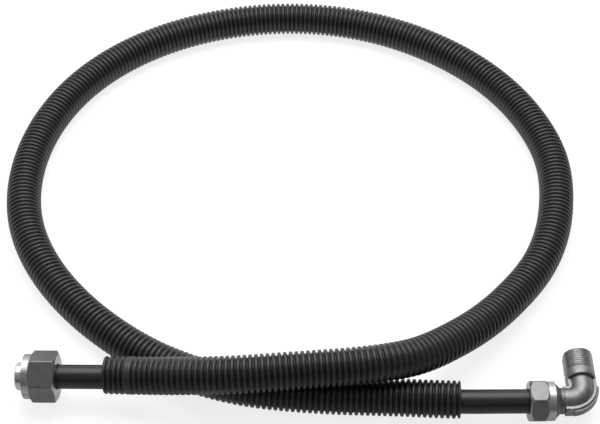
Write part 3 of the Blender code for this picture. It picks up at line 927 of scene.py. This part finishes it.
@dataclass
class InnerPipe:
    """The smooth pipe from the insert to the elbow's spigot."""

    path: HosePath
    around: int = 40
    step: float = 6.0 * MM
    edge: float = 0.3 * MM

    def build(self) -> bpy.types.Object:
        """An outer side, a softened end, a bore and another softened end.

        Returns:
            The pipe.
        """
        places = np.linspace(0.0, self.path.length, int(self.path.length / self.step))
        outer = np.r_[0.0, places[0] + self.edge, places[1:-1], places[-1] - self.edge, places[-1]]
        outer_radii = np.full(len(outer), PIPE_RADIUS)
        outer_radii[[0, -1]] -= self.edge
        inner = places[::-1]
        inner_radii = np.full(len(inner), PIPE_RADIUS - PIPE_WALL)
        surface = self.path.tube(np.r_[outer, inner], np.r_[outer_radii, inner_radii],
                                 self.around, np.zeros(3))
        return surface.to_object("smooth_pipe")

    def dress(self, dresser: Dresser) -> None:
        """Args:
            dresser: what gives pieces their finish.
        """
        pipe = self.build()
        dresser.dress(pipe, dresser.finishes.pipe, Slot.PIPE, Body.HOSE, "inner_pipe")
        line = self.path.at(np.linspace(0.0, self.path.length, CORD_POINTS))
        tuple(self.path.points[0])
        self.path.length


@dataclass
class RibbedSleeve:
    """The corrugated sleeve, which lies over all but the pipe's ends."""

    path: HosePath
    pitch: float = 3.74 * MM
    groove_depth: float = 1.95 * MM
    bore_radius: float = 10.15 * MM
    around: int = 32
    first_groove: float = 2.6 * MM
    last_groove: float = 2.25 * MM
    filled_groove: int = 4
    end_height: float = 0.72
    bore_step: float = 9.0 * MM

    # One rib: how far its rings lie from the middle of the groove before it, in shares of the
    # pitch, and how high they stand above the groove.
    rib_places: tuple[float, ...] = (0.09, 0.23, 0.36, 0.64, 0.77, 0.91)
    rib_heights: tuple[float, ...] = (0.0, 0.80, 1.0, 1.0, 0.80, 0.0)

    @property
    def axis_shift(self) -> np.ndarray:
        """How far the sleeve's axis lies off the pipe's, towards the back and up."""
        return np.array((0.0, 1.0, 1.0)) / math.sqrt(2.0) * SLEEVE_DROP

    @property
    def length(self) -> float:
        """Length of the sleeve, measured along the pipe's axis."""
        return self.path.length - SLEEVE_START - SLEEVE_STOP

    def outer_rows(self, length: float) -> tuple[np.ndarray, np.ndarray]:
        """Places and heights of the outer rings.

        Every pitch repeats the rib's rings, from the groove just before the sleeve's end on. The
        pitch is evened out so that the first and last groove lie where they should. One groove
        near the first end is filled to the crest, which leaves a plain band. Both ends are cut
        through a rib.

        Args:
            length: the sleeve's length.

        Returns:
            The rings' places along the sleeve, and their heights from 0 to 1.
        """
        grooved = length - self.first_groove - self.last_groove
        ribs = round(grooved / self.pitch)
        pitch = grooved / ribs
        grooves = self.first_groove + np.arange(-1, ribs + 1) * pitch
        places = (grooves[:, None] + np.array(self.rib_places) * pitch).ravel()
        heights = np.tile(np.array(self.rib_heights), len(grooves))
        filled = self.first_groove + self.filled_groove * pitch
        heights[np.abs(places - filled) < pitch / 2.0] = 1.0
        margin = pitch * self.rib_places[1] / 2.0
        keep = (places > margin) & (places < length - margin)
        return (np.r_[0.0, places[keep], length],
                np.r_[self.end_height, heights[keep], self.end_height])

    def build(self) -> bpy.types.Object:
        """Ribs outside, a plain bore inside, and both ends cut straight.

        Returns:
            The sleeve.
        """
        outer, heights = self.outer_rows(self.length)
        outer_radii = SLEEVE_RADIUS - self.groove_depth * (1.0 - heights)
        bore = np.linspace(self.length, 0.0, int(self.length / self.bore_step))
        bore_radii = np.full(len(bore), self.bore_radius)
        surface = self.path.tube(SLEEVE_START + np.r_[outer, bore],
                                 np.r_[outer_radii, bore_radii], self.around, self.axis_shift)
        # The rib heights also mask the painted crest sheen and groove shade in the sleeve's
        # material.
        crest = np.r_[heights, np.zeros(len(bore))][:, None] * np.ones(self.around)
        return surface.to_object("ribbed_sleeve", {"crest": crest})

    def dress(self, dresser: Dresser) -> None:
        """Args:
            dresser: what gives pieces their finish.
        """
        sleeve = self.build()
        dresser.dress(sleeve, dresser.finishes.sleeve, Slot.SLEEVE, Body.HOSE,
                      "corrugated_sleeve")
        places = SLEEVE_START + np.linspace(0.0, self.length, CORD_POINTS)
        line = self.path.at(places) + self.axis_shift
        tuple(line[0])
        self.length


@dataclass
class HexNut:
    """A plated nut: turned collar, six chamfered flats, and a threaded bore with a cone seat."""

    name: str
    node: str
    frame: AxisFrame
    hexagon: Hexagon
    face: float
    collar_length: float
    hex_length: float
    front_chamfer: float
    rear_chamfer: float
    cone_top: float
    thread: ScrewThread
    thread_end: float
    rear_face_inset: float = 0.6 * MM
    hole_radius: float = 8.5 * MM
    chamber_radius: float = 10.8 * MM
    cone_slope: float = 0.575
    mouth_chamfer: float = 0.8 * MM
    collar_inset: float = 0.15 * MM
    collar_foot: float = 0.1 * MM
    least_fall: float = 0.01
    thread_gap: float = 0.2 * MM
    edge: float = 0.28 * MM

    def chamfer_height(self, start_radius: float, start: float, fall: float) -> np.ndarray:
        """Height at which a chamfer's cone meets the flats.

        The cone falls by the given amount between the start radius and the corner's radius, so at
        each angle its height is the start's plus that share of the fall.

        Args:
            start_radius: the cone's radius at its narrow end.
            start: the cone's height there.
            fall: the height that it gains by the corner, negative if it falls.

        Returns:
            One height for each angle.
        """
        angles = self.hexagon.angles()
        share = (self.hexagon.radius(angles) - start_radius) / (self.hexagon.reach - start_radius)
        return start + fall * np.clip(share, self.least_fall, 1.0)

    def build(self) -> bpy.types.Object:
        """The nut's closed surface: down its outside, and up through its bore.

        Returns:
            The nut.
        """
        shape = TurnedShape(self.frame, self.hexagon.angles())
        flats = self.hexagon.radius(shape.angles)
        collar = self.hexagon.flat_radius - self.collar_inset
        hex_top = self.face - self.collar_length
        rear = hex_top - self.hex_length
        rear_face = self.hexagon.flat_radius - self.rear_face_inset
        cone_depth = (self.chamber_radius - self.hole_radius) / self.cone_slope
        root = self.thread.crest - self.thread.depth
        body = shape.rows([
            (self.thread.crest + self.mouth_chamfer, self.face),
            (collar, self.face),
            (collar, hex_top + self.collar_foot),
            (flats, self.chamfer_height(collar, hex_top, -self.front_chamfer)),
            (flats, self.chamfer_height(rear_face, rear, self.rear_chamfer)),
            (rear_face, rear),
            (self.hole_radius, rear),
            (self.hole_radius, self.cone_top - cone_depth),
            (self.chamber_radius, self.cone_top),
            (self.chamber_radius, self.thread_end),
            (root, self.thread_end),
        ])
        ridges = self.thread.rows(shape.angles, self.thread_end + self.thread_gap,
                                  self.face - self.mouth_chamfer)
        rows = np.concatenate((shape.softened(body, self.edge), ridges))
        machined = np.clip((flats - rows[..., 0]) / self.edge, 0.0, 1.0)
        return shape.build(self.name, rows, machined)

    def dress(self, dresser: Dresser, body: Body) -> None:
        """Builds the nut, and gives it its finish.

        Args:
            dresser: what gives pieces their finish.
            body: the body that the nut rides on.
        """
        nut = self.build()
        dresser.dress(nut, dresser.finishes.nut, Slot.NUT, body, self.node)
        flat_normals(nut)


@dataclass
class PipeTail:
    """The grooved tail of a fitting inside the pipe's bore."""

    stop_gap: float = 0.3 * MM
    radius: float = 5.4 * MM
    bore: float = 3.8 * MM
    length: float = 14.0 * MM
    tip: float = 0.5 * MM
    groove_depth: float = 1.0 * MM
    groove_width: float = 1.4 * MM
    ring_places: tuple[float, ...] = (-4.5 * MM, -9.0 * MM)
    ring_section: float = 0.35 * MM

    def side(self) -> list[tuple[float, float]]:
        """Profile from the stop at the pipe's end down to the tail's tip, and into its bore.

        Returns:
            Pairs of radius and height.
        """
        floor = self.radius - self.groove_depth
        half = self.groove_width / 2
        grooves = [pair for place in self.ring_places for pair in (
            (self.radius, place + half), (floor, place + half),
            (floor, place - half), (self.radius, place - half))]
        return [(self.radius, self.stop_gap), *grooves, (self.radius, self.tip - self.length),
                (self.radius - self.tip, -self.length), (self.bore, -self.length)]


@dataclass
class SealRing:
    """A rubber ring in a groove."""

    name: str
    frame: AxisFrame
    height: float
    centre_radius: float
    section_radius: float
    around: int = 72
    section_points: int = 14

    def dress(self, dresser: Dresser) -> None:
        """Builds the ring as a circle carried round the axis, and gives it its finish.

        Args:
            dresser: what gives pieces their finish.
        """
        turn = -even_angles(self.section_points)
        shape = TurnedShape(self.frame, even_angles(self.around))
        rows = shape.rows([(self.centre_radius + self.section_radius * math.cos(angle),
                            self.height + self.section_radius * math.sin(angle))
                           for angle in turn])
        ring = shape.build(self.name + "_rubber", rows)
        dresser.dress(ring, dresser.finishes.rubber, Slot.SEAL, Body.HOSE, self.name)


@dataclass
class ConeInsert:
    """The polished stub that the union nut draws against a seat, with its tail in the pipe."""

    tail: PipeTail
    radius: float = 9.2 * MM
    length: float = 12.0 * MM
    tip_chamfer: float = 1.0 * MM
    groove: tuple[float, float] = (2.6 * MM, 4.8 * MM)
    groove_depth: float = 1.3 * MM
    ring_section: float = 0.65 * MM
    ring_gap: float = 0.3 * MM
    edge: float = 0.15 * MM
    around: int = 96

    def build(self) -> bpy.types.Object:
        """Head, seal groove, tail and bore in one closed profile.

        Returns:
            The insert.
        """
        shape = TurnedShape(UNION_FRAME, even_angles(self.around))
        low, high = self.groove
        floor = self.radius - self.groove_depth
        rows = shape.rows([
            (self.tail.bore, 0.0),
            (self.tail.bore, self.length - self.edge),
            (self.tail.bore + self.edge, self.length),
            (self.radius - self.tip_chamfer, self.length),
            (self.radius, self.length - self.tip_chamfer),
            (self.radius, high),
            (floor, high),
            (floor, low),
            (self.radius, low),
            (self.radius, self.tail.stop_gap),
            *self.tail.side(),
        ])
        return shape.build("polished_insert", shape.softened(rows, self.edge))

    def dress(self, dresser: Dresser) -> None:
        """Builds the insert and its rings, and gives them their finish.

        Args:
            dresser: what gives pieces their finish.
        """
        insert = self.build()
        dresser.dress(insert, dresser.finishes.turned, Slot.INSERT, Body.HOSE, "cone_insert")
        flat_normals(insert)
        ring_radius = self.radius - self.groove_depth + self.ring_gap + self.ring_section
        SealRing("cone_o_ring", UNION_FRAME, sum(self.groove) / 2, ring_radius,
                 self.ring_section).dress(dresser)
        dress_tail_rings(self.tail, UNION_FRAME, ("insert_o_ring_front", "insert_o_ring_rear"),
                         dresser)


def dress_tail_rings(tail: PipeTail, frame: AxisFrame, names: tuple[str, str],
                     dresser: Dresser) -> None:
    """Builds the rings in a tail's grooves.

    Args:
        tail: the tail.
        frame: the fitting's frame.
        names: the solids that the rings stand for, from the front.
        dresser: what gives pieces their finish.
    """
    for name, place in zip(names, tail.ring_places):
        SealRing(name, frame, place, tail.radius - tail.ring_section,
                 tail.ring_section).dress(dresser)


@dataclass
class Elbow:
    """The cast elbow with its turned spigot and the turned thread on its arm."""

    tail: PipeTail
    centre: float = 17.0 * MM
    bend_radius: float = 10.0 * MM
    tube_radius: float = 8.15 * MM
    tube_start: float = 0.8 * MM
    sleeve_length: float = 7.1 * MM
    socket_radius: float = 8.5 * MM
    shoulder_radius: float = 11.6 * MM
    shoulder_base: float = 2.2 * MM
    shoulder_top: float = 1.3 * MM
    neck_radius: float = 8.6 * MM
    neck_end: float = 3.6 * MM
    collar_start: float = 15.6 * MM
    collar_radius: float = 10.2 * MM
    collar_length: float = 6.5 * MM
    collar_chamfer: float = 0.5 * MM
    thread: ScrewThread = ScrewThread(10.48 * MM, 1.15 * MM, 1.814 * MM)
    thread_length: float = 14.4 * MM
    thread_chamfer: float = 0.9 * MM
    flat_distance: float = 9.4 * MM
    bore_radius: float = 6.4 * MM
    band_proud: float = 1.2 * MM
    band_half: float = 4.0 * MM
    band_start: float = 3.9 * MM
    pad_proud: float = 2.7 * MM
    pad_half: float = 2.5 * MM
    pad_angles: tuple[float, float] = (math.radians(7.0), math.radians(90.0))
    pad_root: float = 3.0 * MM
    pad_overrun: float = 0.1
    bar_tip: float = 0.01 * MM
    bar_columns: int = 64
    weld_reach: float = 0.001 * MM
    tube_overlap: float = 0.6 * MM
    band_overlap: float = 0.5 * MM
    bore_gap: float = 0.05 * MM
    bore_before: float = 1.0 * MM
    bore_beyond: float = 3.0 * MM
    casting_voxel: float = 0.3 * MM
    soften_factor: float = 0.5
    soften_rounds: int = 5
    sharp_angle: float = math.radians(50.0)
    shoulder_rim: float = 0.3 * MM
    raw_margin: float = 0.4 * MM
    sleeve_thread: ScrewThread = ScrewThread(10.4 * MM, 0.5 * MM, 1.0 * MM)
    sleeve_thread_gap: float = 0.3 * MM
    sleeve_tip_inset: float = 0.6 * MM
    bore_chamfer: float = 0.4 * MM
    edge: float = 0.15 * MM
    around: int = 120

    # How far the neck is cut in at its foot, and how far up.
    neck_foot: tuple[float, float] = (0.3 * MM, 0.4 * MM)

    # How long the undercut behind the arm's thread is, and where the first ridge starts.
    thread_undercut: tuple[float, float] = (0.8 * MM, 0.9 * MM)

    @property
    def arm_frame(self) -> AxisFrame:
        """Frame of the arm: z out of the thread, x along the pipe."""
        return AxisFrame.along(ELBOW_FRAME.moved(self.centre), ELBOW_FRAME.axes[:, 0],
                               ELBOW_FRAME.axes[:, 2])

    def arc(self, radius: float, first: float, last: float, count: int = 24) -> np.ndarray:
        """Points (x, z) at a radius from the bend's centre, by the angle turned from the pipe.

        The bend's centre is one bend radius to the arm's side, so a point lies at
        x = bend radius - radius cos(angle) and z = centre - bend radius + radius sin(angle).

        Args:
            radius: the distance from the bend's centre.
            first: the first point's angle.
            last: the last point's angle.
            count: how many points it has.

        Returns:
            An array of shape (count, 2).
        """
        angle = np.linspace(first, last, count)
        return np.column_stack((self.bend_radius - radius * np.cos(angle),
                                self.centre - self.bend_radius + radius * np.sin(angle)))

    def bent_tube(self, name: str, radius: float, start: float, stop: float) -> bpy.types.Object:
        """A solid round bar along the elbow's bent centre line, with closed ends.

        Args:
            name: the object's name.
            radius: the bar's radius.
            start: where it starts along the pipe's axis.
            stop: where it ends along the arm.

        Returns:
            The bar.
        """
        bend = self.arc(self.bend_radius, 0.0, math.pi / 2)
        line = np.vstack(((0.0, start), bend, (stop, self.centre)))
        ahead = np.gradient(line, axis=0)
        ahead[0] = (0.0, 1.0)
        ahead[-1] = (1.0, 0.0)
        ahead /= np.linalg.norm(ahead, axis=1, keepdims=True)
        line = np.vstack((line[:1], line, line[-1:]))
        ahead = np.vstack((ahead[:1], ahead, ahead[-1:]))
        radii = np.full(len(line), radius)
        radii[[0, -1]] = self.bar_tip
        turn = even_angles(self.bar_columns)
        across = radii[:, None] * np.cos(turn)
        x = line[:, :1] + across * ahead[:, 1:]
        z = line[:, 1:] - across * ahead[:, :1]
        y = radii[:, None] * np.sin(turn)
        points = ELBOW_FRAME.to_world(np.stack((x, y, z), axis=-1))
        uv = np.zeros((len(line) + 1, len(turn) + 1, 2))
        bar = GridSurface(points, uv, close_rows=False).to_object(name)
        self.close_ends(bar, len(line), len(turn))
        return bar

    def close_ends(self, bar: bpy.types.Object, rows: int, columns: int) -> None:
        """Merges the tiny first and last rings of a bar into a point each.

        Args:
            bar: the bar.
            rows: how many rings it has.
            columns: how many points a ring has.
        """
        mesh = bar.data
        places = np.empty(len(mesh.vertices) * 3)
        mesh.vertices.foreach_get("co", places)
        grid = places.reshape(rows, columns, 3)
        grid[[0, -1]] = grid[[0, -1]].mean(axis=1, keepdims=True)
        mesh.vertices.foreach_set("co", grid.ravel())
        weld = bar.modifiers.new("weld", "WELD")
        weld.merge_threshold = self.weld_reach

    def plate(self, name: str, outline: np.ndarray, half: float) -> bpy.types.Object:
        """A flat plate in the elbow's plane.

        Args:
            name: the object's name.
            outline: its outline as (x, z) points of the elbow's frame.
            half: half its thickness.

        Returns:
            The plate, closed.
        """
        count = len(outline)
        level = np.ones(count) * half
        near = np.column_stack((outline[:, 0], -level, outline[:, 1]))
        far = np.column_stack((outline[:, 0], level, outline[:, 1]))
        i = np.arange(count)
        sides = np.column_stack((i, (i + 1) % count, (i + 1) % count + count, i + count))
        mesh = bpy.data.meshes.new(name)
        mesh.from_pydata(ELBOW_FRAME.to_world(np.vstack((near, far))), [],
                         [*sides.tolist(), i[::-1].tolist(), (i + count).tolist()])
        return linked(name, mesh)

    def band_outline(self) -> np.ndarray:
        """Outline of the parting band, proud of the tube on both sides of the bend.

        Returns:
            Points (x, z) of the elbow's frame.
        """
        reach = self.tube_radius + self.band_proud
        outer = self.arc(self.bend_radius + reach, 0.0, math.pi / 2)
        stop = self.collar_start + self.band_overlap
        return np.vstack(((-reach, self.band_start), outer, (stop, self.centre + reach),
                          (stop, self.centre - reach), (reach, self.centre - reach),
                          (reach, self.band_start)))

    def pad_outline(self) -> np.ndarray:
        """Outline of the thicker pad round the outside of the bend.

        Returns:
            Points (x, z) of the elbow's frame.
        """
        first, last = self.pad_angles
        outer = self.arc(self.bend_radius + self.tube_radius + self.pad_proud, first, last)
        inner = self.arc(self.bend_radius + self.tube_radius - self.pad_root,
                         last + self.pad_overrun, first - self.pad_overrun)
        return np.vstack((outer, inner))

    def casting(self) -> bpy.types.Object:
        """The bend, band and pad melted into one casting with soft inner corners, then bored.

        Returns:
            The casting.
        """
        forms = [
            self.bent_tube("casting_tube", self.tube_radius, self.tube_start,
                           self.collar_start + self.tube_overlap),
            self.plate("casting_band", self.band_outline(), self.band_half),
            self.plate("casting_pad", self.pad_outline(), self.pad_half),
        ]
        bore = self.bent_tube("casting_bore", self.bore_radius + self.bore_gap,
                              self.neck_end - self.bore_before,
                              self.collar_start + self.bore_beyond)
        body = forms[0]
        for form in forms[1:]:
            union = body.modifiers.new(form.name, "BOOLEAN")
            union.operation = "UNION"
            union.object = form
        remesh = body.modifiers.new("melt", "REMESH")
        remesh.mode = "VOXEL"
        remesh.voxel_size = self.casting_voxel
        remesh.use_smooth_shade = True
        smooth = body.modifiers.new("soften", "SMOOTH")
        smooth.factor = self.soften_factor
        smooth.iterations = self.soften_rounds
        drilled = body.modifiers.new("bore", "BOOLEAN")
        drilled.operation = "DIFFERENCE"
        drilled.object = bore
        bpy.context.view_layer.update()
        graph = bpy.context.evaluated_depsgraph_get()
        mesh = bpy.data.meshes.new_from_object(body.evaluated_get(graph))
        for form in (*forms, bore):
            bpy.data.objects.remove(form, do_unlink=True)
        mesh.shade_smooth()
        mesh.set_sharp_from_angle(angle=self.sharp_angle)
        return linked("elbow_casting", mesh)

    def spigot(self) -> bpy.types.Object:
        """The raw shoulder and neck, and the turned sleeve and tail round the pipe's end.

        Returns:
            The spigot.
        """
        shape = TurnedShape(ELBOW_FRAME, even_angles(self.around))
        sleeve_end = -self.shoulder_base - self.sleeve_length
        foot_in, foot_up = self.neck_foot
        outside = shape.rows([
            (self.tail.bore, self.neck_end),
            (self.neck_radius, self.neck_end),
            (self.neck_radius, self.shoulder_top + foot_up),
            (self.neck_radius - foot_in, self.shoulder_top),
            (self.shoulder_radius, self.shoulder_rim - self.shoulder_base),
            (self.shoulder_radius, -self.shoulder_base),
            (self.sleeve_thread.crest, -self.shoulder_base),
        ])
        ridges = self.sleeve_thread.rows(
            shape.angles, -self.shoulder_base - self.sleeve_thread_gap, sleeve_end)
        inside = shape.rows([
            (self.sleeve_thread.crest - self.sleeve_tip_inset, sleeve_end),
            (self.socket_radius, sleeve_end),
            (self.socket_radius, self.tail.stop_gap),
            *self.tail.side(),
        ])
        rows = np.concatenate((shape.softened(outside, self.edge), ridges,
                               shape.softened(inside, self.edge)))
        raw = ((rows[..., 0] > self.neck_radius - self.raw_margin)
               & (rows[..., 1] > -self.shoulder_base))
        return shape.build("elbow_spigot", rows, np.where(raw, 0.0, 1.0))

    def arm_end(self) -> bpy.types.Object:
        """The turned collar and male thread with two wrench flats, round the arm's bore.

        The thread's radius is the least of the ridge, the end chamfer's cone and the flats, whose
        distance over the cosine of the angle gives a radius at every angle.

        Returns:
            The arm's end.
        """
        shape = TurnedShape(self.arm_frame, even_angles(self.around))
        collar_end = self.collar_start + self.collar_length
        end = collar_end + self.thread_length
        undercut, first_ridge = self.thread_undercut
        ridges = self.thread.rows(shape.angles, end, collar_end + first_ridge)
        cone = self.thread.crest - self.thread_chamfer + (end - ridges[..., 1])
        ridges[..., 0] = np.minimum(ridges[..., 0], cone)
        root = self.thread.crest - self.thread.depth
        body = shape.softened(shape.rows([
            (root, collar_end + undercut),
            (root, collar_end),
            (self.collar_radius, collar_end),
            (self.collar_radius, self.collar_start + self.collar_chamfer),
            (self.collar_radius - self.collar_chamfer, self.collar_start),
            (self.bore_radius, self.collar_start),
            (self.bore_radius, end - self.bore_chamfer),
            (self.bore_radius + self.bore_chamfer, end),
        ]), self.edge)
        rows = np.concatenate((ridges, body))
        flats = self.flat_distance / np.maximum(np.abs(np.cos(shape.angles)), NEARLY_ZERO)
        turned = (rows[..., 1] > collar_end - 0.5 * self.edge) & (rows[..., 0] < flats)
        rows[..., 0] = np.minimum(rows[..., 0], flats)
        return shape.build("elbow_arm_end", rows, np.where(turned, 1.0, 0.0))

    def dress(self, dresser: Dresser) -> None:
        """Builds the elbow's three surfaces and its seals, and gives them their finish.

        Args:
            dresser: what gives pieces their finish.
        """
        for piece, finish in ((self.casting(), dresser.finishes.cast),
                              (self.spigot(), dresser.finishes.nut),
                              (self.arm_end(), dresser.finishes.cast)):
            dresser.dress(piece, finish, Slot.ELBOW, Body.HOSE, "elbow_body")
        dress_tail_rings(self.tail, ELBOW_FRAME, ("spigot_o_ring_front", "spigot_o_ring_rear"),
                         dresser)


def union_nut() -> HexNut:
    """The large loose nut: G 3/4, 30 mm across flats.

    Returns:
        The nut, not yet built.
    """
    face = 6.5 * MM
    return HexNut(
        name="loose_union_nut", node="union_nut", frame=UNION_FRAME,
        hexagon=Hexagon(flat_radius=15.0 * MM, corner_angle=math.radians(-4.3),
                        corner_rounding=1.2 * MM),
        face=face, collar_length=4.7 * MM, hex_length=17.1 * MM, front_chamfer=1.1 * MM,
        rear_chamfer=1.0 * MM, cone_top=face - 14.5 * MM, thread_end=face - 11.0 * MM,
        thread=ScrewThread(crest=13.2 * MM, depth=1.15 * MM, pitch=1.814 * MM))


def compression_nut() -> HexNut:
    """The smaller nut that clamps the pipe in the elbow: 26 mm across flats.

    Returns:
        The nut, not yet built.
    """
    return HexNut(
        name="tight_compression_nut", node="compression_nut", frame=ELBOW_FRAME,
        hexagon=Hexagon(flat_radius=13.0 * MM, corner_angle=math.radians(4.5),
                        corner_rounding=1.6 * MM),
        face=-2.5 * MM, collar_length=4.8 * MM, hex_length=12.2 * MM, front_chamfer=2.0 * MM,
        rear_chamfer=2.4 * MM, cone_top=-12.1 * MM, thread_end=-10.0 * MM,
        thread=ScrewThread(crest=11.3 * MM, depth=0.5 * MM, pitch=1.0 * MM),
        mouth_chamfer=0.3 * MM)


def dress_clamping_rings(nodes: dict[str, bpy.types.Object], finishes: Finishes) -> None:
    """Gives the two hidden clamping rings, which keep their solids, the turned finish.

    Args:
        nodes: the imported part's solids by name.
        finishes: the hose's materials.
    """
    for name in ("union_clamping_ring", "elbow_clamping_ring"):
        ring = nodes[name]
        ring.data.materials.clear()
        ring.data.materials.append(finishes.turned)
        log.info("%s: %d faces, kept", name, len(ring.data.polygons))


@dataclass
class PhotographView:
    """The camera at the photograph's viewing angle, 45 degrees above the hose."""

    look_at: tuple[float, float, float] = (-4.8 * MM, 175.6 * MM, 0.0)
    elevation: float = math.radians(45.485)
    distance: float = 1228.27 * MM
    focal_length: float = 100.0
    sensor_width: float = 36.0
    near_limit: float = 0.01

    def build(self) -> None:
        """Adds the camera and makes it the scene's own."""
        data = bpy.data.cameras.new("photograph_view")
        data.lens = self.focal_length
        data.sensor_width = self.sensor_width
        data.sensor_fit = "HORIZONTAL"
        data.clip_start = self.near_limit
        camera = linked("photograph_view", data)
        back = Vector((0.0, -math.cos(self.elevation), math.sin(self.elevation)))
        camera.location = Vector(self.look_at) + back * self.distance
        camera.rotation_euler = (math.pi / 2 - self.elevation, 0.0, 0.0)
        bpy.context.scene.camera = camera


@dataclass
class Studio:
    """White floor and backdrop, a broad soft lamp overhead, a side fill and a dim room."""

    floor_half: float = 6.0
    floor_grey: float = 0.34
    floor_roughness: float = 0.9
    floor_glow: float = 0.80
    # How far the floor's glow is dimmed at the front for metal and glass: a painted shade in their
    # reflections, not a shadow.
    painted_shade_front_share: float = 0.22
    front_to_back: tuple[float, float] = (-0.06, 0.10)
    lamp_place: tuple[float, float, float] = (0.0, 0.62, 1.45)
    lamp_size: tuple[float, float] = (1.6, 1.35)
    lamp_target: tuple[float, float, float] = (0.0, 0.08, 0.0)
    lamp_watts: float = 21.0
    fill_place: tuple[float, float, float] = (-1.5, 0.3, 0.8)
    fill_size: tuple[float, float] = (0.7, 0.7)
    fill_watts: float = 1.6
    room_heights: tuple[float, float] = (0.0, 1.0)
    room_strengths: tuple[float, float] = (0.05, 0.42)
    backdrop_range: tuple[float, float] = (0.2, 0.7)

    def lamp(self, name: str, place: tuple[float, float, float], size: tuple[float, float],
             watts: float) -> None:
        """Adds a rectangular lamp that faces the hose.

        Args:
            name: the lamp's name.
            place: where it hangs.
            size: its width and depth.
            watts: its power.
        """
        data = bpy.data.lights.new(name, "AREA")
        data.shape = "RECTANGLE"
        data.size = size[0]
        data.size_y = size[1]
        data.energy = watts
        lamp = linked(name, data)
        lamp.location = place
        aim = Vector(self.lamp_target) - Vector(place)
        lamp.rotation_euler = aim.to_track_quat("-Z", "Y").to_euler()

    def floor(self) -> None:
        """A floor that the camera sees as white but for the hose's soft shadow, and whose glow
        metal and glass see dimmed in front of the hose, a painted shade in their reflections.
        """
        half = self.floor_half
        mesh = bpy.data.meshes.new("floor")
        mesh.from_pydata([(-half, -half, 0), (half, -half, 0), (half, half, 0), (-half, half, 0)],
                         [], [(0, 1, 2, 3)])
        floor = linked("floor", mesh)
        bench = MaterialBench("floor_white")
        grey = self.floor_grey
        for title, value in (("Base Color", (grey, grey, grey, 1.0)),
                             ("Roughness", self.floor_roughness),
                             ("Specular IOR Level", 0.0), ("Emission Color", WHITE)):
            bench.shader.inputs[title].default_value = value
        split = bench.add("ShaderNodeSeparateXYZ")
        bench.join(bench.place(), split.inputs["Vector"])
        # Painted shade: metal and glass see the floor's glow dimmed in front of the hose.
        behind = bench.spread(split.outputs["Y"], self.painted_shade_front_share, 1.0, *self.front_to_back)
        bench.join(bench.reckon("MULTIPLY", self.seen_white(bench, behind), self.floor_glow),
                   bench.shader.inputs["Emission Strength"])
        mesh.materials.append(bench.material)

    @staticmethod
    def seen_white(bench: Bench, reflected: Socket) -> Socket:
        """How white the set looks: wholly to the camera, and by a share to metal and glass.

        Args:
            bench: where the nodes are laid out.
            reflected: the socket of the share.

        Returns:
            The socket of the whiteness, 0 for light that falls on the hose.
        """
        ray = bench.tree.nodes.new("ShaderNodeLightPath").outputs
        mirrored = bench.reckon("MAXIMUM", ray["Is Glossy Ray"], ray["Is Transmission Ray"])
        mirrored = bench.reckon("MULTIPLY", mirrored, reflected)
        return bench.reckon("MAXIMUM", ray["Is Camera Ray"], mirrored)

    def room(self) -> None:
        """A grey room, lighter overhead, with a white backdrop behind that lights nothing."""
        world = bpy.data.worlds.new("room")
        world.use_nodes = True
        bpy.context.scene.world = world
        bench = Bench(world.node_tree)
        background = bench.tree.nodes["Background"]
        split = bench.add("ShaderNodeSeparateXYZ")
        bench.join(bench.add("ShaderNodeTexCoord").outputs["Generated"], split.inputs["Vector"])
        grey = bench.spread(split.outputs["Z"], *self.room_strengths, *self.room_heights)
        backdrop = bench.spread(split.outputs["Y"], 0.0, 1.0, *self.backdrop_range)
        strength = bench.reckon("MAXIMUM", self.seen_white(bench, backdrop), grey)
        bench.join(strength, background.inputs["Strength"])
        background.inputs["Color"].default_value = WHITE

    def build(self) -> None:
        """Adds the floor, the room and the lamps, and sets the plain view transform."""
        self.floor()
        self.room()
        self.lamp("high_softbox", self.lamp_place, self.lamp_size, self.lamp_watts)
        self.lamp("side_fill", self.fill_place, self.fill_size, self.fill_watts)
        bpy.context.scene.view_settings.view_transform = "Standard"


def main() -> None:
    """Builds the hose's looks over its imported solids."""
    logging.basicConfig(level=logging.INFO, format="%(message)s")
    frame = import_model()
    PhotographView().build()
    dresser = Dresser(Finishes())
    path = HosePath()
    InnerPipe(path).dress(dresser)
    RibbedSleeve(path).dress(dresser)
    tail = PipeTail()
    union_nut().dress(dresser, Body.LOOSE_NUT)
    ConeInsert(tail).dress(dresser)
    compression_nut().dress(dresser, Body.HOSE)
    Elbow(tail).dress(dresser)
    dress_clamping_rings(frame["nodes"], dresser.finishes)
    Studio().build()
    bpy.context.view_layer.update()


if __name__ == "__main__":
    main()
